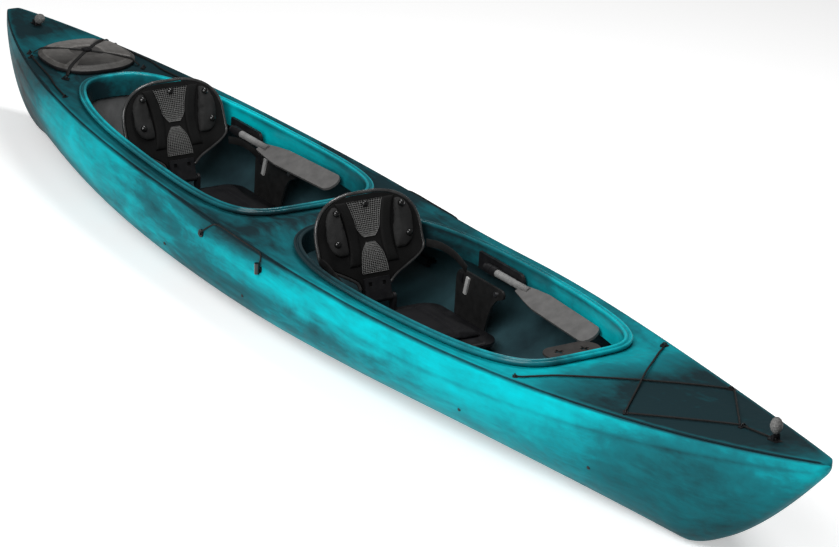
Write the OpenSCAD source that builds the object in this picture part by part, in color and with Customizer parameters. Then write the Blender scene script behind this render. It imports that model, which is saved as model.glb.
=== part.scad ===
// Tandem kayak with two cockpits, a stern hatch, folding seat backs and deck rigging.
// +X points to the bow, +Y to port and +Z up. The origin is under the middle of the keel.

/* [Hull] */
// Overall length
boat_len = 4720; // [4500:10:5000]
// Greatest breadth, at the soft crease below the deck edge
beam = 760; // [752:2:800]
// Breadth at the deck edge
deck_beam = 734; // [716:2:744]
// Height of the deck edge amidships
side_h = 315; // [300:1:345]
// Rise of the deck edge at the bow
bow_rise = 132; // [100:1:160]
// Rise of the deck edge at the stern
stern_rise = 73; // [50:1:100]
// Dip of the deck edge beside the front seat
sheer_dip = 10; // [0:1:20]
// Height of the bright shoulder between the deck edge and the soft crease
shoulder_h = 85; // [60:1:100]
// Wall of the hull shell
wall = 5; // [4:0.5:7]
// Half width of the flat along the keel
keel_flat = 36; // [34:1:45]
// Height of the blunt nose at bow and stern
nose_h = 28; // [24:1:44]
// Half breadth of the blunt nose
nose_r = 15; // [12:1:20]

/* [Deck] */
// Wall of the deck shell
deck_wall = 4.5; // [4:0.5:6]
// Seam between hull and deck
seam = 0.3; // [0.2:0.1:0.5]
// Crown of the open deck
crown = 18; // [8:1:30]
// Depth of the gutter round the cockpits
gutter = 8; // [5:1:12]
// Front cockpit, aft end
front_aft = -80; // [-100:5:-60]
// Front cockpit, forward end
front_fore = 1235; // [1200:5:1260]
// Rear cockpit, aft end
rear_aft = -1600; // [-1604:1:-1580]
// Rear cockpit, forward end
rear_fore = -250; // [-270:5:-230]
// Distance from the deck edge to the cockpit openings
cockpit_inset = 62; // [55:1:70]
// Depth of the coaming wall below the deck
coaming_drop = 60; // [50:1:66]

/* [Hatch] */
// Middle of the hatch opening
hatch_x = -1784; // [-1790:1:-1780]
// Length of the hatch opening
hatch_len = 240; // [220:2:244]
// Width of the hatch opening
hatch_wid = 284; // [260:2:290]
// Overhang of the cover round the opening
hatch_lip = 20; // [16:1:24]
// Height of the cover's edge over the deck
hatch_h = 20; // [19:1:28]
// Width of the hatch straps
hatch_strap_w = 12; // [10:1:18]

/* [Seats] */
// Hinge of the front seat back
front_seat_x = 150; // [130:5:170]
// Hinge of the rear seat back
rear_seat_x = -1085; // [-1100:5:-1070]
// Height of the seat back hinges
hinge_z = 130; // [126:1:140]
// Lean of the seat backs at rest
recline = 21; // [16:1:26]
// Height of a seat back above its hinge
back_h = 336; // [310:2:360]
// Greatest breadth of a seat back shell
back_w = 376; // [360:2:400]
// Forward curl of the seat back's sides
back_curl = 6; // [0:1:14]
// Thickness of a seat back shell
back_t = 14; // [10:1:18]
// Half breadth of a seat pan
pan_half = 226; // [222:1:232]
// Length of a seat pan
pan_len = 390; // [370:5:400]
// Underside of a seat pan's deck
pan_z = 70; // [66:1:76]
// Thickness of a seat pan's deck
pan_t = 9; // [8:1:12]
// Radius of the hinge pins
pin_r = 5; // [4:0.5:6]
// Running clearance on pins and rails
run_gap = 0.06; // [0.03:0.01:0.1]
// Crown of the seat cushions
cushion_h = 26; // [18:1:30]
// Width of the seat back straps
strap_w = 26; // [20:1:30]

/* [Outfitting] */
// Start of the front knee rests
front_knee_x = 560; // [550:5:570]
// Start of the rear knee rests
rear_knee_x = -930; // [-940:5:-920]
// Length of a knee rest plate
knee_len = 435; // [400:5:440]
// Width of a knee rest plate
knee_wid = 74; // [66:1:78]
// Thickness of a knee rest plate
knee_t = 9; // [7:1:11]
// Slope of the knee rests towards the middle
knee_tilt = 28; // [20:1:34]
// Radius of the ridged rail of a knee rest
rail_r = 12; // [10:0.5:13]
// Aft end of the front foot rails
front_foot_x = 1050; // [1040:5:1070]
// Aft end of the rear foot rails
rear_foot_x = -600; // [-620:5:-590]
// Length of a foot rail
foot_len = 540; // [500:5:550]
// Height of the front foot rails
front_foot_z = 160; // [150:1:170]
// Height of the rear foot rails
rear_foot_z = 125; // [120:1:135]
// Depth of a foot rail
foot_rail_h = 30; // [24:1:34]
// Thickness of a foot rail
foot_rail_t = 12; // [10:1:14]
// Length of the console tray across the boat
tray_wid = 190; // [170:2:200]
// Depth of the console tray along the boat
tray_len = 92; // [84:2:100]

/* [Rigging] */
// Radius of the deck bungee
bungee_r = 3; // [2.5:0.25:3.5]
// Radius of the paddle keeper cords
keeper_r = 2.5; // [2:0.25:3]
// Bow toggle from the middle of the boat
bow_toggle_x = 2125; // [2115:5:2135]
// Stern toggle from the middle of the boat
stern_toggle_x = -2165; // [-2175:5:-2155]
// Height of a toggle grip
grip_h = 46; // [40:1:50]
// Radius of a toggle grip
grip_r = 18; // [15:0.5:19]

/* [Hidden] */
$fn = 48;

// Clearances between neighbouring pieces
fit = 0.4;
skin_gap = 0.7;
end_x = boat_len / 2;
// Where the plan is widest, and how it fines down to each end
mid_x = 480;
bow_taper = 1.75;
bow_round = 0.93;
stern_taper = 3.4;
stern_round = 0.91;
// Where the deck edge dips, and over what length
dip_x = 150;
dip_len = 420;
// Where the stem and the stern post leave the straight keel
fore_x = end_x - 530;
aft_x = end_x - 330;
// Fullness of the bilge amidships, at the bow and at the stern
bilge_mid = 3.05;
bilge_bow = 1.74;
bilge_stern = 1.15;
// Where the bilge is fullest, and how far that fullness runs each way
full_x = -300;
full_fore = 780;
full_aft = 1330;
// The inside of the shell stops short of the solid noses
core = (end_x - 36) / end_x;
// Where the gutter starts inside the deck edge, and over what width it falls
gutter_start = 8;
gutter_run = 28;
// Squareness of the hatch's outline
hatch_n = 3;
// Openings: both ends, squareness aft and fore, and a half width if it is fixed
front = [front_aft, front_fore, 3, 5, 0];
rear = [rear_aft, rear_fore, 3.4, 5, 0];
hatch = [hatch_x - hatch_len / 2, hatch_x + hatch_len / 2, hatch_n, hatch_n, hatch_wid / 2];
openings = [hatch, rear, front];
seats = [front_seat_x, rear_seat_x];
black = [0.06, 0.06, 0.065];
charcoal = [0.13, 0.13, 0.135];
grey = [0.42, 0.41, 0.40];
teal = [0.05, 0.55, 0.60];
dark_teal = [0.06, 0.26, 0.29];
steel = [0.72, 0.72, 0.74];

// Small helpers
function lerp(a, b, t) = a + (b - a) * t;
function smooth(t) = let (c = min(1, max(0, t))) c * c * (3 - 2 * c);
function unit(v) = v / norm(v);
function quad(a, b, c, d) = [[a, b, c], [a, c, d]];
function flat(lists) = [for (l = lists) for (e = l) e];

// Lines of the hull
function span(x) = x > mid_x ? (x - mid_x) / (end_x - mid_x) : (mid_x - x) / (end_x + mid_x);
function fullness(x) = x > mid_x
    ? pow(max(0, 1 - pow(span(x), bow_taper)), bow_round)
    : pow(max(0, 1 - pow(span(x), stern_taper)), stern_round);
function edge_y(x) = nose_r + (deck_beam / 2 - nose_r) * fullness(x);
function beam_y(x) = edge_y(x) + (beam - deck_beam) / 2 * fullness(x);
function sheer(x) = x > 0 ? bow_rise * pow(x / end_x, 2.9) : stern_rise * pow(-x / end_x, 2.7);
function edge_z(x) = side_h + sheer(x) - sheer_dip * exp(-pow((x - dip_x) / dip_len, 2));
function stem_z(t) = (edge_z(end_x) - nose_h) * pow(t, 1.4);
function post_z(t) = (edge_z(-end_x) - nose_h) * (1 - sqrt(max(0, 1 - t * t)));
function keel_z(x) = x > fore_x ? stem_z((x - fore_x) / (end_x - fore_x))
    : x < -aft_x ? post_z((-x - aft_x) / (end_x - aft_x)) : 0;
function hull_top(x) = edge_z(x) - deck_wall - seam;
function beam_z(x) = edge_z(x) - min(shoulder_h * (0.4 + 0.6 * fullness(x)), 0.6 * (edge_z(x) - keel_z(x)));
function bilge(x) = x > full_x ? lerp(bilge_bow, bilge_mid, exp(-pow((x - full_x) / full_fore, 2)))
    : lerp(bilge_stern, bilge_mid, exp(-pow((x - full_x) / full_aft, 2)));
function keel_y(x) = 2 + (keel_flat - 2) * fullness(x);
// Half breadth of the hull at a height below the soft crease
function hull_y(x, z) = let (n = bilge(x), c = (beam_z(x) - z) / (beam_z(x) - keel_z(x)))
    keel_y(x) + (beam_y(x) - keel_y(x)) * pow(max(0, 1 - pow(c, n)), 1 / n);

// One side of a cross section, from the deck edge to the keel, moved in by off
bilge_steps = 5;
function drawn_in(y, off) = max(y - off, 0.3 * y);
function shoulder_pts(x, off) = [for (t = [0, 0.5, 1])
    [drawn_in(lerp(edge_y(x), beam_y(x), pow(t, 0.7)), off), lerp(hull_top(x), beam_z(x), t)]];
function bilge_pts(x, off) = let (n = bilge(x)) [for (k = [1:bilge_steps])
    let (s = 90 - 90 * k / bilge_steps, lift = off * cos(s))
    [drawn_in(keel_y(x) + (beam_y(x) - keel_y(x)) * pow(sin(s), 2 / n), off * sin(s)),
     min(keel_z(x) + (beam_z(x) - keel_z(x)) * (1 - pow(cos(s), 2 / n)) + lift, beam_z(x) - 0.5 * k)]];
function half_section(x, off) = concat(shoulder_pts(x, off), bilge_pts(x, off));
// A whole section, from starboard down to the keel and up to port
function section(x, off, at) = let (h = half_section(x, off), n = len(h)) concat(
    [for (p = h) [at, -p[0], p[1]]],
    [for (k = [n - 1:-1:0]) [at, h[k][0], h[k][1]]]);

// Openings and the height of the deck
function inside(o, x) = x > o[0] + 0.01 && x < o[1] - 0.01;
function open_half(o, x) = !inside(o, x) ? 0
    : let (c = (o[0] + o[1]) / 2, t = abs(x - c) / ((o[1] - o[0]) / 2), n = x < c ? o[2] : o[3])
      (o[4] > 0 ? o[4] : edge_y(x) - cockpit_inset) * pow(1 - pow(t, n), 1 / n);
function open_y(x) = max([for (o = openings) open_half(o, x)]);
function near_cockpit(x) = max([for (o = [front, rear])
    smooth((x - o[0] + 90) / 80) * smooth((o[1] + gutter_end - 10 - x) / (gutter_end - 20))]);
function deck_z(x, y) = let (e = edge_y(x), w = near_cockpit(x)) edge_z(x)
    + (1 - w) * crown * fullness(x) * (1 - pow(y / e, 2))
    - w * gutter * smooth((e - abs(y) - gutter_start) / gutter_run);

// Stations along the boat, with the ends of every opening among them
function run(a, b, n) = [for (i = [1:n]) lerp(a, b, i / n)];
function turn(o, n) = [for (i = [1:n]) i == n ? o[1] : lerp(o[0], o[1], (1 - cos(180 * i / n)) / 2)];
nose_steps = 9;
nose_run = 560;
// Length over which the gutter ahead of the front cockpit runs out
gutter_end = 140;
stations = concat(
    [for (i = [0:nose_steps]) lerp(-end_x, hatch[0], pow(i / nose_steps, 1.5))],
    turn(hatch, 10), [rear_aft], turn(rear, 18), run(rear_fore, front_aft, 3), turn(front, 18),
    run(front_fore, front_fore + gutter_end, 4), run(front_fore + gutter_end, end_x - nose_run, 3),
    [for (i = [1:nose_steps]) end_x - nose_run * pow(1 - i / nose_steps, 1.5)]);

// Hull shell: an outer and an inner skin joined along the deck edge
hull_outer = [for (x = stations) section(x, 0, x)];
hull_inner = [for (x = stations) section(x * core, wall, x * core)];
module hull() {
    n = len(stations);
    m = len(hull_outer[0]);
    function o(i, k) = i * m + k;
    function q(i, k) = (n + i) * m + k;
    function cap(i, k) = [[o(i, k), o(i, k + 1), o(i, m - 2 - k), o(i, m - 1 - k)],
                          [q(i, k), q(i, k + 1), q(i, m - 2 - k), q(i, m - 1 - k)]];
    function turned(c) = quad(c[3], c[2], c[1], c[0]);
    function straight(c) = quad(c[0], c[1], c[2], c[3]);
    skins = [for (i = [0:n - 2]) for (k = [0:m - 2]) concat(
        quad(o(i, k + 1), o(i, k), o(i + 1, k), o(i + 1, k + 1)),
        quad(q(i, k), q(i, k + 1), q(i + 1, k + 1), q(i + 1, k)))];
    rims = [for (i = [0:n - 2]) concat(
        quad(o(i, 0), q(i, 0), q(i + 1, 0), o(i + 1, 0)),
        quad(q(i, m - 1), o(i, m - 1), o(i + 1, m - 1), q(i + 1, m - 1)))];
    caps = [for (k = [0:m / 2 - 2]) concat(
        straight(cap(0, k)[0]), turned(cap(0, k)[1]),
        turned(cap(n - 1, k)[0]), straight(cap(n - 1, k)[1]))];
    ends = [quad(o(0, 0), o(0, m - 1), q(0, m - 1), q(0, 0)),
            quad(q(n - 1, 0), q(n - 1, m - 1), o(n - 1, m - 1), o(n - 1, 0))];
    color(teal) polyhedron(flat(concat(hull_outer, hull_inner)), flat(concat(skins, rims, caps, ends)));
}

// Deck shell: two surfaces from the deck edges to the openings or the middle
// Shares of the way in from the deck edge, the first no wider than the flat beside the gutter
shares = [0, 0.1, 0.28, 0.5, 0.75, 1];
rim_w = 7;
function share(s, w) = s == shares[1] ? min(s, rim_w / w) : s;
module deck() {
    n = len(stations);
    m = len(shares);
    c = m - 1;
    gaps = [for (x = stations) open_y(x)];
    pts = [for (i = [0:n - 1]) for (low = [0, 1]) for (side = [-1, 1]) for (s = shares)
        let (x = stations[i], e = edge_y(x), y = lerp(e, gaps[i], share(s, e - gaps[i])))
        [x, side * y, deck_z(x, y) - low * deck_wall]];
    function at(i, low, side, j) = j == c && side == 1 && gaps[i] == 0 ? at(i, low, 0, c)
        : ((i * 2 + low) * 2 + side) * m + j;
    function patch(i, low, side, j) = let (a = at(i, low, side, j), b = at(i, low, side, j + 1),
        d = at(i + 1, low, side, j + 1), e = at(i + 1, low, side, j))
        low == side ? quad(a, b, d, e) : quad(a, e, d, b);
    function edge(i, side, j, turned) = let (a = at(i, 1, side, j), b = at(i, 0, side, j),
        d = at(i + 1, 0, side, j), e = at(i + 1, 1, side, j)) turned ? quad(e, d, b, a) : quad(a, b, d, e);
    function end(i, j, side, turned) = let (a = at(i, 0, side, j + 1), b = at(i, 0, side, j),
        d = at(i, 1, side, j), e = at(i, 1, side, j + 1)) turned ? quad(e, d, b, a) : quad(a, b, d, e);
    skins = [for (i = [0:n - 2]) for (low = [0, 1]) for (side = [0, 1]) for (j = [0:m - 2])
        patch(i, low, side, j)];
    edges = [for (i = [0:n - 2]) for (side = [0, 1]) edge(i, side, 0, side == 1)];
    holes = [for (i = [0:n - 2]) if (gaps[i] + gaps[i + 1] > 0) for (side = [0, 1])
        edge(i, side, c, side == 0)];
    ends = [for (j = [0:m - 2]) for (side = [0, 1]) concat(
        end(0, j, side, side == 1), end(n - 1, j, side, side == 0))];
    color(dark_teal) polyhedron(pts, flat(concat(skins, edges, holes, ends)));
}

// A skin over rings of points, closed into a loop or capped at both ends
function skin_faces(n, m, loop) = concat(
    flat([for (i = [0:n - (loop ? 1 : 2)]) for (k = [0:m - 1])
        let (a = i * m, b = (i + 1) % n * m, l = (k + 1) % m) quad(a + k, b + k, b + l, a + l)]),
    loop ? [] : [[for (k = [0:m - 1]) k], [for (k = [m - 1:-1:0]) (n - 1) * m + k]]);
module skin(rings, loop) {
    polyhedron(flat(rings), skin_faces(len(rings), len(rings[0]), loop));
}

// The edge of an opening as a loop of points on the deck, with the direction out of it
function rim_line(o, n) = let (xs = concat([o[0]], turn(o, n))) concat(
    [for (i = [0:n]) [xs[i], -open_half(o, xs[i])]], [for (i = [n - 1:-1:1]) [xs[i], open_half(o, xs[i])]]);
function rim_normals(line) = let (n = len(line)) [for (i = [0:n - 1])
    let (d = unit(line[(i + 1) % n] - line[(i + n - 1) % n])) [d[1], -d[0]]];
module rim(o, n, profile) {
    line = rim_line(o, n);
    out = rim_normals(line);
    skin([for (i = [0:len(line) - 1]) let (p = line[i], z = deck_z(p[0], p[1]))
        [for (q = profile) [p[0] + q[0] * out[i][0], p[1] + q[0] * out[i][1], z + q[1]]]], true);
}
// A double-lipped coaming over a plain wall
coaming_in = 8;
coaming_turns = 18;
coaming_profile = [[-coaming_in, -coaming_drop], [-coaming_in, 17], [-6, 21], [-1, 22], [4, 18], [9, 17.5],
    [14, 19.5], [18, 17], [19, 11], [14, 5.5], [-fit, 4.5], [-fit, -coaming_drop]];
module front_coaming() { color(teal) rim(front, coaming_turns, coaming_profile); }
module rear_coaming() { color(teal) rim(rear, coaming_turns, coaming_profile); }

// Foam bulkheads, cut to the inside of the shell
// The hull's inner skin at any place, between its two nearest stations
function skin_at(x) = let (i = max([for (k = [0:len(stations) - 2]) stations[k] * core <= x ? k : 0]),
    t = (x / core - stations[i]) / (stations[i + 1] - stations[i]))
    [for (k = [0:len(hull_inner[i]) - 1]) lerp(hull_inner[i][k], hull_inner[i + 1][k], t)];
function moved_in(x) = let (middle = [x, 0, (keel_z(x) + hull_top(x)) / 2])
    [for (p = skin_at(x)) p - foam_gap * unit(p - middle)];
module bulkhead(x0, x1) {
    tops = [0.9, 0.45, 0, -0.45, -0.9];
    function ring(x) = let (top = drawn_in(edge_y(x), wall + skin_gap))
        concat(moved_in(x), [for (t = tops) [x, t * top, deck_z(x, t * top) - deck_wall - skin_gap]]);
    skin([ring(x0), ring(x1)], false);
}
foam_t = 34;
foam_gap = 1.5;
foam_ahead = 150;
bow_foam_x = front_foot_x + foot_len + foam_ahead;
stern_foam_x = rear_aft - coaming_in;
module stern_bulkhead() { color(grey) bulkhead(stern_foam_x - foam_t, stern_foam_x); }
module bow_bulkhead() { color(grey) bulkhead(bow_foam_x, bow_foam_x + foam_t); }

// Stern hatch: rim, gasket, domed cover with four panels, crossed straps
rim_h = 11;
rim_wall = 5;
rim_drop = 24;
rim_turns = 10;
flange_w = 13;
flange_low = 1.4;
flange_top = 4;
gasket_h = 3.6;
gasket_w = 4.4;
module hatch_rim() {
    fillet = 0.5;
    color(black) rim(hatch, rim_turns, [[-rim_wall, -rim_drop], [-rim_wall, rim_h], [-fit, rim_h],
        [3 * fillet, flange_top + fillet], [flange_w, flange_top], [flange_w, flange_low],
        [-fit, flange_low], [-fit, -rim_drop]]);
}
module hatch_gasket() {
    low = rim_h + fit;
    top = low + gasket_h;
    inner = fit / 2 - rim_wall;
    outer = inner + gasket_w;
    color(black) rim(hatch, rim_turns, [[inner, low], [inner, top], [outer, top], [outer, low]]);
}
hatch_turns = 48;
cover_rings = [1, 0.97, 0.86, 0.7, 0.5, 0.25];
cover_crown = 7;
panel_h = 4;
cover_l = hatch_len / 2 + hatch_lip;
cover_w = hatch_wid / 2 + hatch_lip;
skirt_t = 4;
skirt_low = 5;
function squared(c, size) = size * sign(c) * pow(abs(c), 2 / hatch_n);
function oval(a, l, w) = [squared(cos(a), l), squared(sin(a), w)];
function cover_xy(a, r) = let (p = oval(a, cover_l, cover_w)) [hatch_x + r * p[0], r * p[1]];
// Height of the cover over the deck, with its panels standing up between the diagonals
function panel(a, r) = smooth((abs(sin(2 * a - 90)) - 0.28) / 0.3)
    * smooth((0.93 - r) / 0.12) * smooth((r - 0.3) / 0.2);
function cover_top(r) = hatch_h + cover_crown * (1 - r * r) - (r > 0.99 ? 3 : 0);
function cover_pt(a, r, h) = let (p = cover_xy(a, r)) [p[0], p[1], deck_z(p[0], p[1]) + h];
function cover_ring(r, h, lift) = [for (k = [0:hatch_turns - 1]) let (a = -360 * (k + 0.5) / hatch_turns)
    cover_pt(a, r, h + lift * panel(a, r))];
module hatch_cover() {
    inner = 1 - skirt_t / cover_w;
    roof = rim_h + fit + gasket_h + fit;
    rings = concat([for (r = [0.15, 0.4, 0.6, 0.75, 0.88, inner]) cover_ring(r, roof, 0)],
        [cover_ring(inner, skirt_low, 0), cover_ring(1, skirt_low, 0)],
        [for (r = cover_rings) cover_ring(r, cover_top(r), panel_h)]);
    color(grey) skin([for (k = [len(rings) - 1:-1:0]) rings[k]], false);
}
// A strap across the cover along one diagonal, down to the deck at both ends
strap_ratio = 1.12;
diag_angle = 45;
eye_ratio = 1.21;
strap_t = 2;
function strap_h(r) = r < 0.99 ? cover_top(r) + 3 * fit
    : lerp(cover_top(0.99) + 1, 5, min(1, (r - 0.99) / (strap_ratio - 0.99)));
module hatch_strap(a) {
    p = cover_xy(a, 1) - [hatch_x, 0];
    side = unit([-p[1], p[0]]) * hatch_strap_w / 2;
    half = [0.2, 0.4, 0.6, 0.8, 0.98, 1.03, 1.07, strap_ratio];
    steps = concat([for (k = [len(half) - 1:-1:0]) -half[k]], [0], half);
    skin([for (r = steps) let (c = [hatch_x, 0] + r * p, z = deck_z(c[0], c[1]) + strap_h(abs(r)))
        [for (q = [[1, 0], [1, 1], [-1, 1], [-1, 0]])
            [c[0] + q[0] * side[0], c[1] + q[0] * side[1], z + q[1] * strap_t]]], false);
}
module hatch_straps() {
    color(black) union() {
        hatch_strap(diag_angle);
        hatch_strap(-diag_angle);
    }
}
buckle = [30, 26, 6];
buckle_slot = [4, 18, 5];
module hatch_buckle() {
    z = deck_z(hatch_x, 0) + strap_h(0) + strap_t + fit;
    color(black) translate([hatch_x, 0, z]) difference() {
        translate([-buckle[0] / 2, -buckle[1] / 2, 0]) cube(buckle);
        for (s = [-7, 7])
            translate([s - buckle_slot[0] / 2, -buckle_slot[1] / 2, 2]) cube(buckle_slot);
    }
}

// A pad-eye: a screwed base with a round loop over it
eye_r = 7;
eye_wire = 2.5;
eye_base = [26, 14, 5];
eye_sink = 1;
module pad_eye(x, y, turn_z) {
    translate([x, y, deck_z(x, abs(y)) - eye_sink]) rotate([0, 0, turn_z]) {
        translate([-eye_base[0] / 2, -eye_base[1] / 2, 0]) cube(eye_base);
        translate([0, 0, eye_base[2]]) {
            rotate([90, 0, 0]) rotate_extrude(angle = 180) translate([eye_r, 0]) circle(eye_wire);
            for (s = [-10, 10]) translate([s, 0, 0]) cylinder(h = 1.5, r = 2.4);
        }
    }
}
module hatch_pad_eyes() {
    color(black) for (a = [diag_angle, -diag_angle]) for (r = [eye_ratio, -eye_ratio]) {
        p = cover_xy(a, r);
        pad_eye(p[0], p[1], a + 90);
    }
}

// Deck bungee on the bow, held by five pad-eyes
eye_inset = 24;
eye_ahead = 40;
fore_eye_back = 430;
tip_eye_back = 140;
bow_eyes_x = [front_fore + eye_ahead, bow_toggle_x - fore_eye_back];
bow_eye_tip = bow_toggle_x - tip_eye_back;
function eye_pt(x, side) = [x, side * (edge_y(x) - eye_inset), 0];
module bow_pad_eyes() {
    color(black) for (x = bow_eyes_x) for (s = [-1, 1]) pad_eye(x, s * (edge_y(x) - eye_inset), s * 35);
    color(black) pad_eye(bow_eye_tip, 0, 90);
}
// A tube swept along points
function tangents(p) = [for (i = [0:len(p) - 1]) unit(p[min(i + 1, len(p) - 1)] - p[max(i - 1, 0)])];
function tube_ring(c, t, r, sides) = let (left = unit(cross([0, 0, 1], t)), up = cross(t, left))
    [for (k = [0:sides - 1]) let (a = 360 * k / sides) c + r * (cos(a) * left + sin(a) * up)];
module tube(p, r, sides) {
    t = tangents(p);
    skin([for (i = [0:len(p) - 1]) tube_ring(p[i], t[i], r, sides)], false);
}
cord_lift = 2;
cord_sides = 8;
function over_deck(a, b, n, h, bump) = [for (i = [0:n])
    let (t = i / n, x = lerp(a[0], b[0], t), y = lerp(a[1], b[1], t))
    [x, y, deck_z(x, abs(y)) + h + bump * exp(-pow((t - 0.5) / 0.16, 2))]];
module bow_bungee() {
    aft_starboard = eye_pt(bow_eyes_x[0], -1);
    aft_port = eye_pt(bow_eyes_x[0], 1);
    fore_starboard = eye_pt(bow_eyes_x[1], -1);
    fore_port = eye_pt(bow_eyes_x[1], 1);
    tip = [bow_eye_tip, 0, 0];
    base = [bow_toggle_x - 22, 0, 0];
    past_eye = [14, 0, 0];
    low = bungee_r + cord_lift;
    over = 2 * bungee_r + 1;
    color(black) {
        tube(over_deck(aft_starboard, fore_port, 14, low, 0), bungee_r, cord_sides);
        tube(over_deck(aft_port, fore_starboard, 14, low, over), bungee_r, cord_sides);
        for (e = [fore_starboard, fore_port])
            tube(over_deck(e + past_eye, tip - past_eye, 6, low, 0), bungee_r, cord_sides);
        tube(over_deck(tip, base, 4, low, 0), bungee_r, cord_sides);
    }
}
// Cords along the deck edge, from beside the hatch to the corners of the rear cockpit
line_aft = hatch_x - 96;
line_fore = rear_aft + 90;
line_insets = [22, 36];
module stern_deck_line() {
    function end(x, s, inset) = [x, s * (edge_y(x) - inset), 0];
    color(black) for (s = [-1, 1]) {
        aft = end(line_aft, s, line_insets[0]);
        fore = end(line_fore, s, line_insets[1]);
        past_eye = [10, 0, 0];
        tube(over_deck(aft + past_eye, fore - past_eye, 14, bungee_r + cord_lift, 0), bungee_r, cord_sides);
        for (p = [aft, fore]) pad_eye(p[0], p[1], s * 75);
    }
}

// Carrying toggles at bow and stern, each swinging on a pin between two ears
toggle_pin_r = 2.5;
toggle_up = 14;
// The stern toggle lies towards the bow at rest
stern_tilt = 64;
ear_gap = 7;
ear_t = 5;
ear_r = 6;
base_len = 40;
base_t = 5;
base_sink = 2;
toggles = [bow_toggle_x, stern_toggle_x];
function toggle_z(x) = deck_z(x, 0) + toggle_up;
module toggle_bases() {
    reach = ear_gap + ear_t;
    color(black) for (x = toggles) translate([x, 0, toggle_z(x)]) {
        translate([-base_len / 2, -reach, -toggle_up - base_sink]) cube([base_len, 2 * reach, base_t]);
        for (s = [0, 1]) mirror([0, s, 0]) translate([0, ear_gap, 0]) {
            translate([-ear_r, 0, -toggle_up]) cube([2 * ear_r, ear_t, toggle_up]);
            translate([0, ear_t, 0]) rotate([90, 0, 0]) cylinder(h = ear_t, r = ear_r);
        }
        rotate([90, 0, 0]) cylinder(h = 2 * ear_gap + 2, r = toggle_pin_r, center = true);
    }
}
// The eye of a toggle, with the stem of its grip
stem_h = 8;
module toggle_eye(x, tilt) {
    color(black) translate([x, 0, toggle_z(x)]) rotate([0, tilt, 0]) difference() {
        union() {
            rotate([90, 0, 0]) cylinder(h = 2 * (ear_gap - fit), r = ear_r, center = true);
            translate([0, 0, 4]) cylinder(h = stem_h, r = 4.5);
        }
        rotate([90, 0, 0]) cylinder(h = 2 * ear_gap + 2, r = toggle_pin_r + run_gap, center = true);
    }
}
// A ribbed oval grip
module toggle_grip(x, tilt) {
    n = 28;
    function r(t) = grip_r * pow(sin(180 * lerp(0.06, 0.94, t)), 0.55) + 0.4 * sin(360 * 6 * t);
    outline = concat([[0, 0]], [for (i = [0:n]) [r(i / n), grip_h * i / n]], [[0, grip_h]]);
    color(grey) translate([x, 0, toggle_z(x)]) rotate([0, tilt, 0]) translate([0, 0, stem_h])
        rotate_extrude() polygon(outline);
}
module bow_toggle() { toggle_grip(bow_toggle_x, 0); }
module bow_toggle_eye() { toggle_eye(bow_toggle_x, 0); }
module stern_toggle() { toggle_grip(stern_toggle_x, stern_tilt); }
module stern_toggle_eye() { toggle_eye(stern_toggle_x, stern_tilt); }

// Paddle keepers: a cord on each side from a pad-eye over the shoulder to a knob
keeper_aft = -328;
keeper_fore = 40;
// Share of the way down the shoulder of both ends
keeper_eye_t = 0.74;
keeper_knob_t = 0.62;
function flank(x, t, h) = let (y = lerp(edge_y(x), beam_y(x), t)) [x, y + h, lerp(edge_z(x), beam_z(x), t)];
// Points of a keeper: place along the boat, share of the way down the shoulder, extra lift
keeper_route = [[keeper_aft + 5, keeper_eye_t - 0.06, 7], [keeper_aft + 38, 0.34, 1],
    [keeper_aft + 75, 0.08, 0], [keeper_aft + 120, 0.02, 0], [-140, 0.02, 0], [-70, 0.02, 0],
    [keeper_fore - 40, 0.02, 0], [keeper_fore - 12, 0.06, 0], [keeper_fore - 2, 0.22, 2],
    [keeper_fore, keeper_knob_t - 0.28, 5]];
module keeper_cords() {
    pts = [for (p = keeper_route) flank(p[0], p[1], keeper_r + 1 + p[2])];
    color(black) for (s = [0, 1]) mirror([0, s, 0]) tube(pts, keeper_r, cord_sides);
}
boss_h = 8;
boss_sink = 4;
eye_boss_r = 13;
knob_boss_r = 10;
// Seat of a round boss on the shoulder, as far out as the skin that it covers
function boss_seat(x, t, r) = let (low = min(1, t + r / (edge_z(x) - beam_z(x))))
    [x, lerp(edge_y(x), beam_y(x), low) - boss_sink, lerp(edge_z(x), beam_z(x), t)];
module on_flank(x, t, r) { translate(boss_seat(x, t, r)) rotate([-90, 0, 0]) children(); }
module keeper_pad_eyes() {
    color(black) for (s = [0, 1]) mirror([0, s, 0]) {
        on_flank(keeper_aft, keeper_eye_t, eye_boss_r) {
            cylinder(h = boss_h, r = eye_boss_r);
            translate([0, 0, boss_h]) cylinder(h = 5, r = eye_boss_r / 2);
        }
        on_flank(keeper_fore, keeper_knob_t, knob_boss_r) cylinder(h = boss_h - 1, r = knob_boss_r);
    }
}
knob_h = 36;
knob_r = 8;
module keeper_knobs() {
    seat = boss_seat(keeper_fore, keeper_knob_t, knob_boss_r) + [0, boss_h - 0.5 + knob_r, 0];
    color(black) for (s = [0, 1]) mirror([0, s, 0])
        translate([seat[0], seat[1], seat[2] - 12]) cylinder(h = knob_h, r1 = knob_r, r2 = knob_r + 1.5);
}

// Console tray at the forward end of the front cockpit, with two cross-shaped holes
tray_t = 7;
cross_len = 30;
cross_w = 10;
module tray_cross() {
    for (r = [0, 90]) rotate([0, 0, r]) cube([cross_len, cross_w, 4 * tray_t], center = true);
}
module console_tray() {
    r = tray_len / 2;
    reach = tray_wid / 2 - r;
    x = front_fore - coaming_in - fit - r;
    color(grey) translate([x, 0, deck_z(front_fore, 0) + 2]) difference() {
        union() {
            translate([-r, -reach, 0]) cube([2 * r, 2 * reach, tray_t]);
            for (s = [-1, 1]) translate([0, s * reach, 0]) cylinder(h = tray_t, r = r);
        }
        for (s = [-1, 1]) translate([s * 6, s * 42, tray_t / 2]) tray_cross();
    }
}

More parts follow.
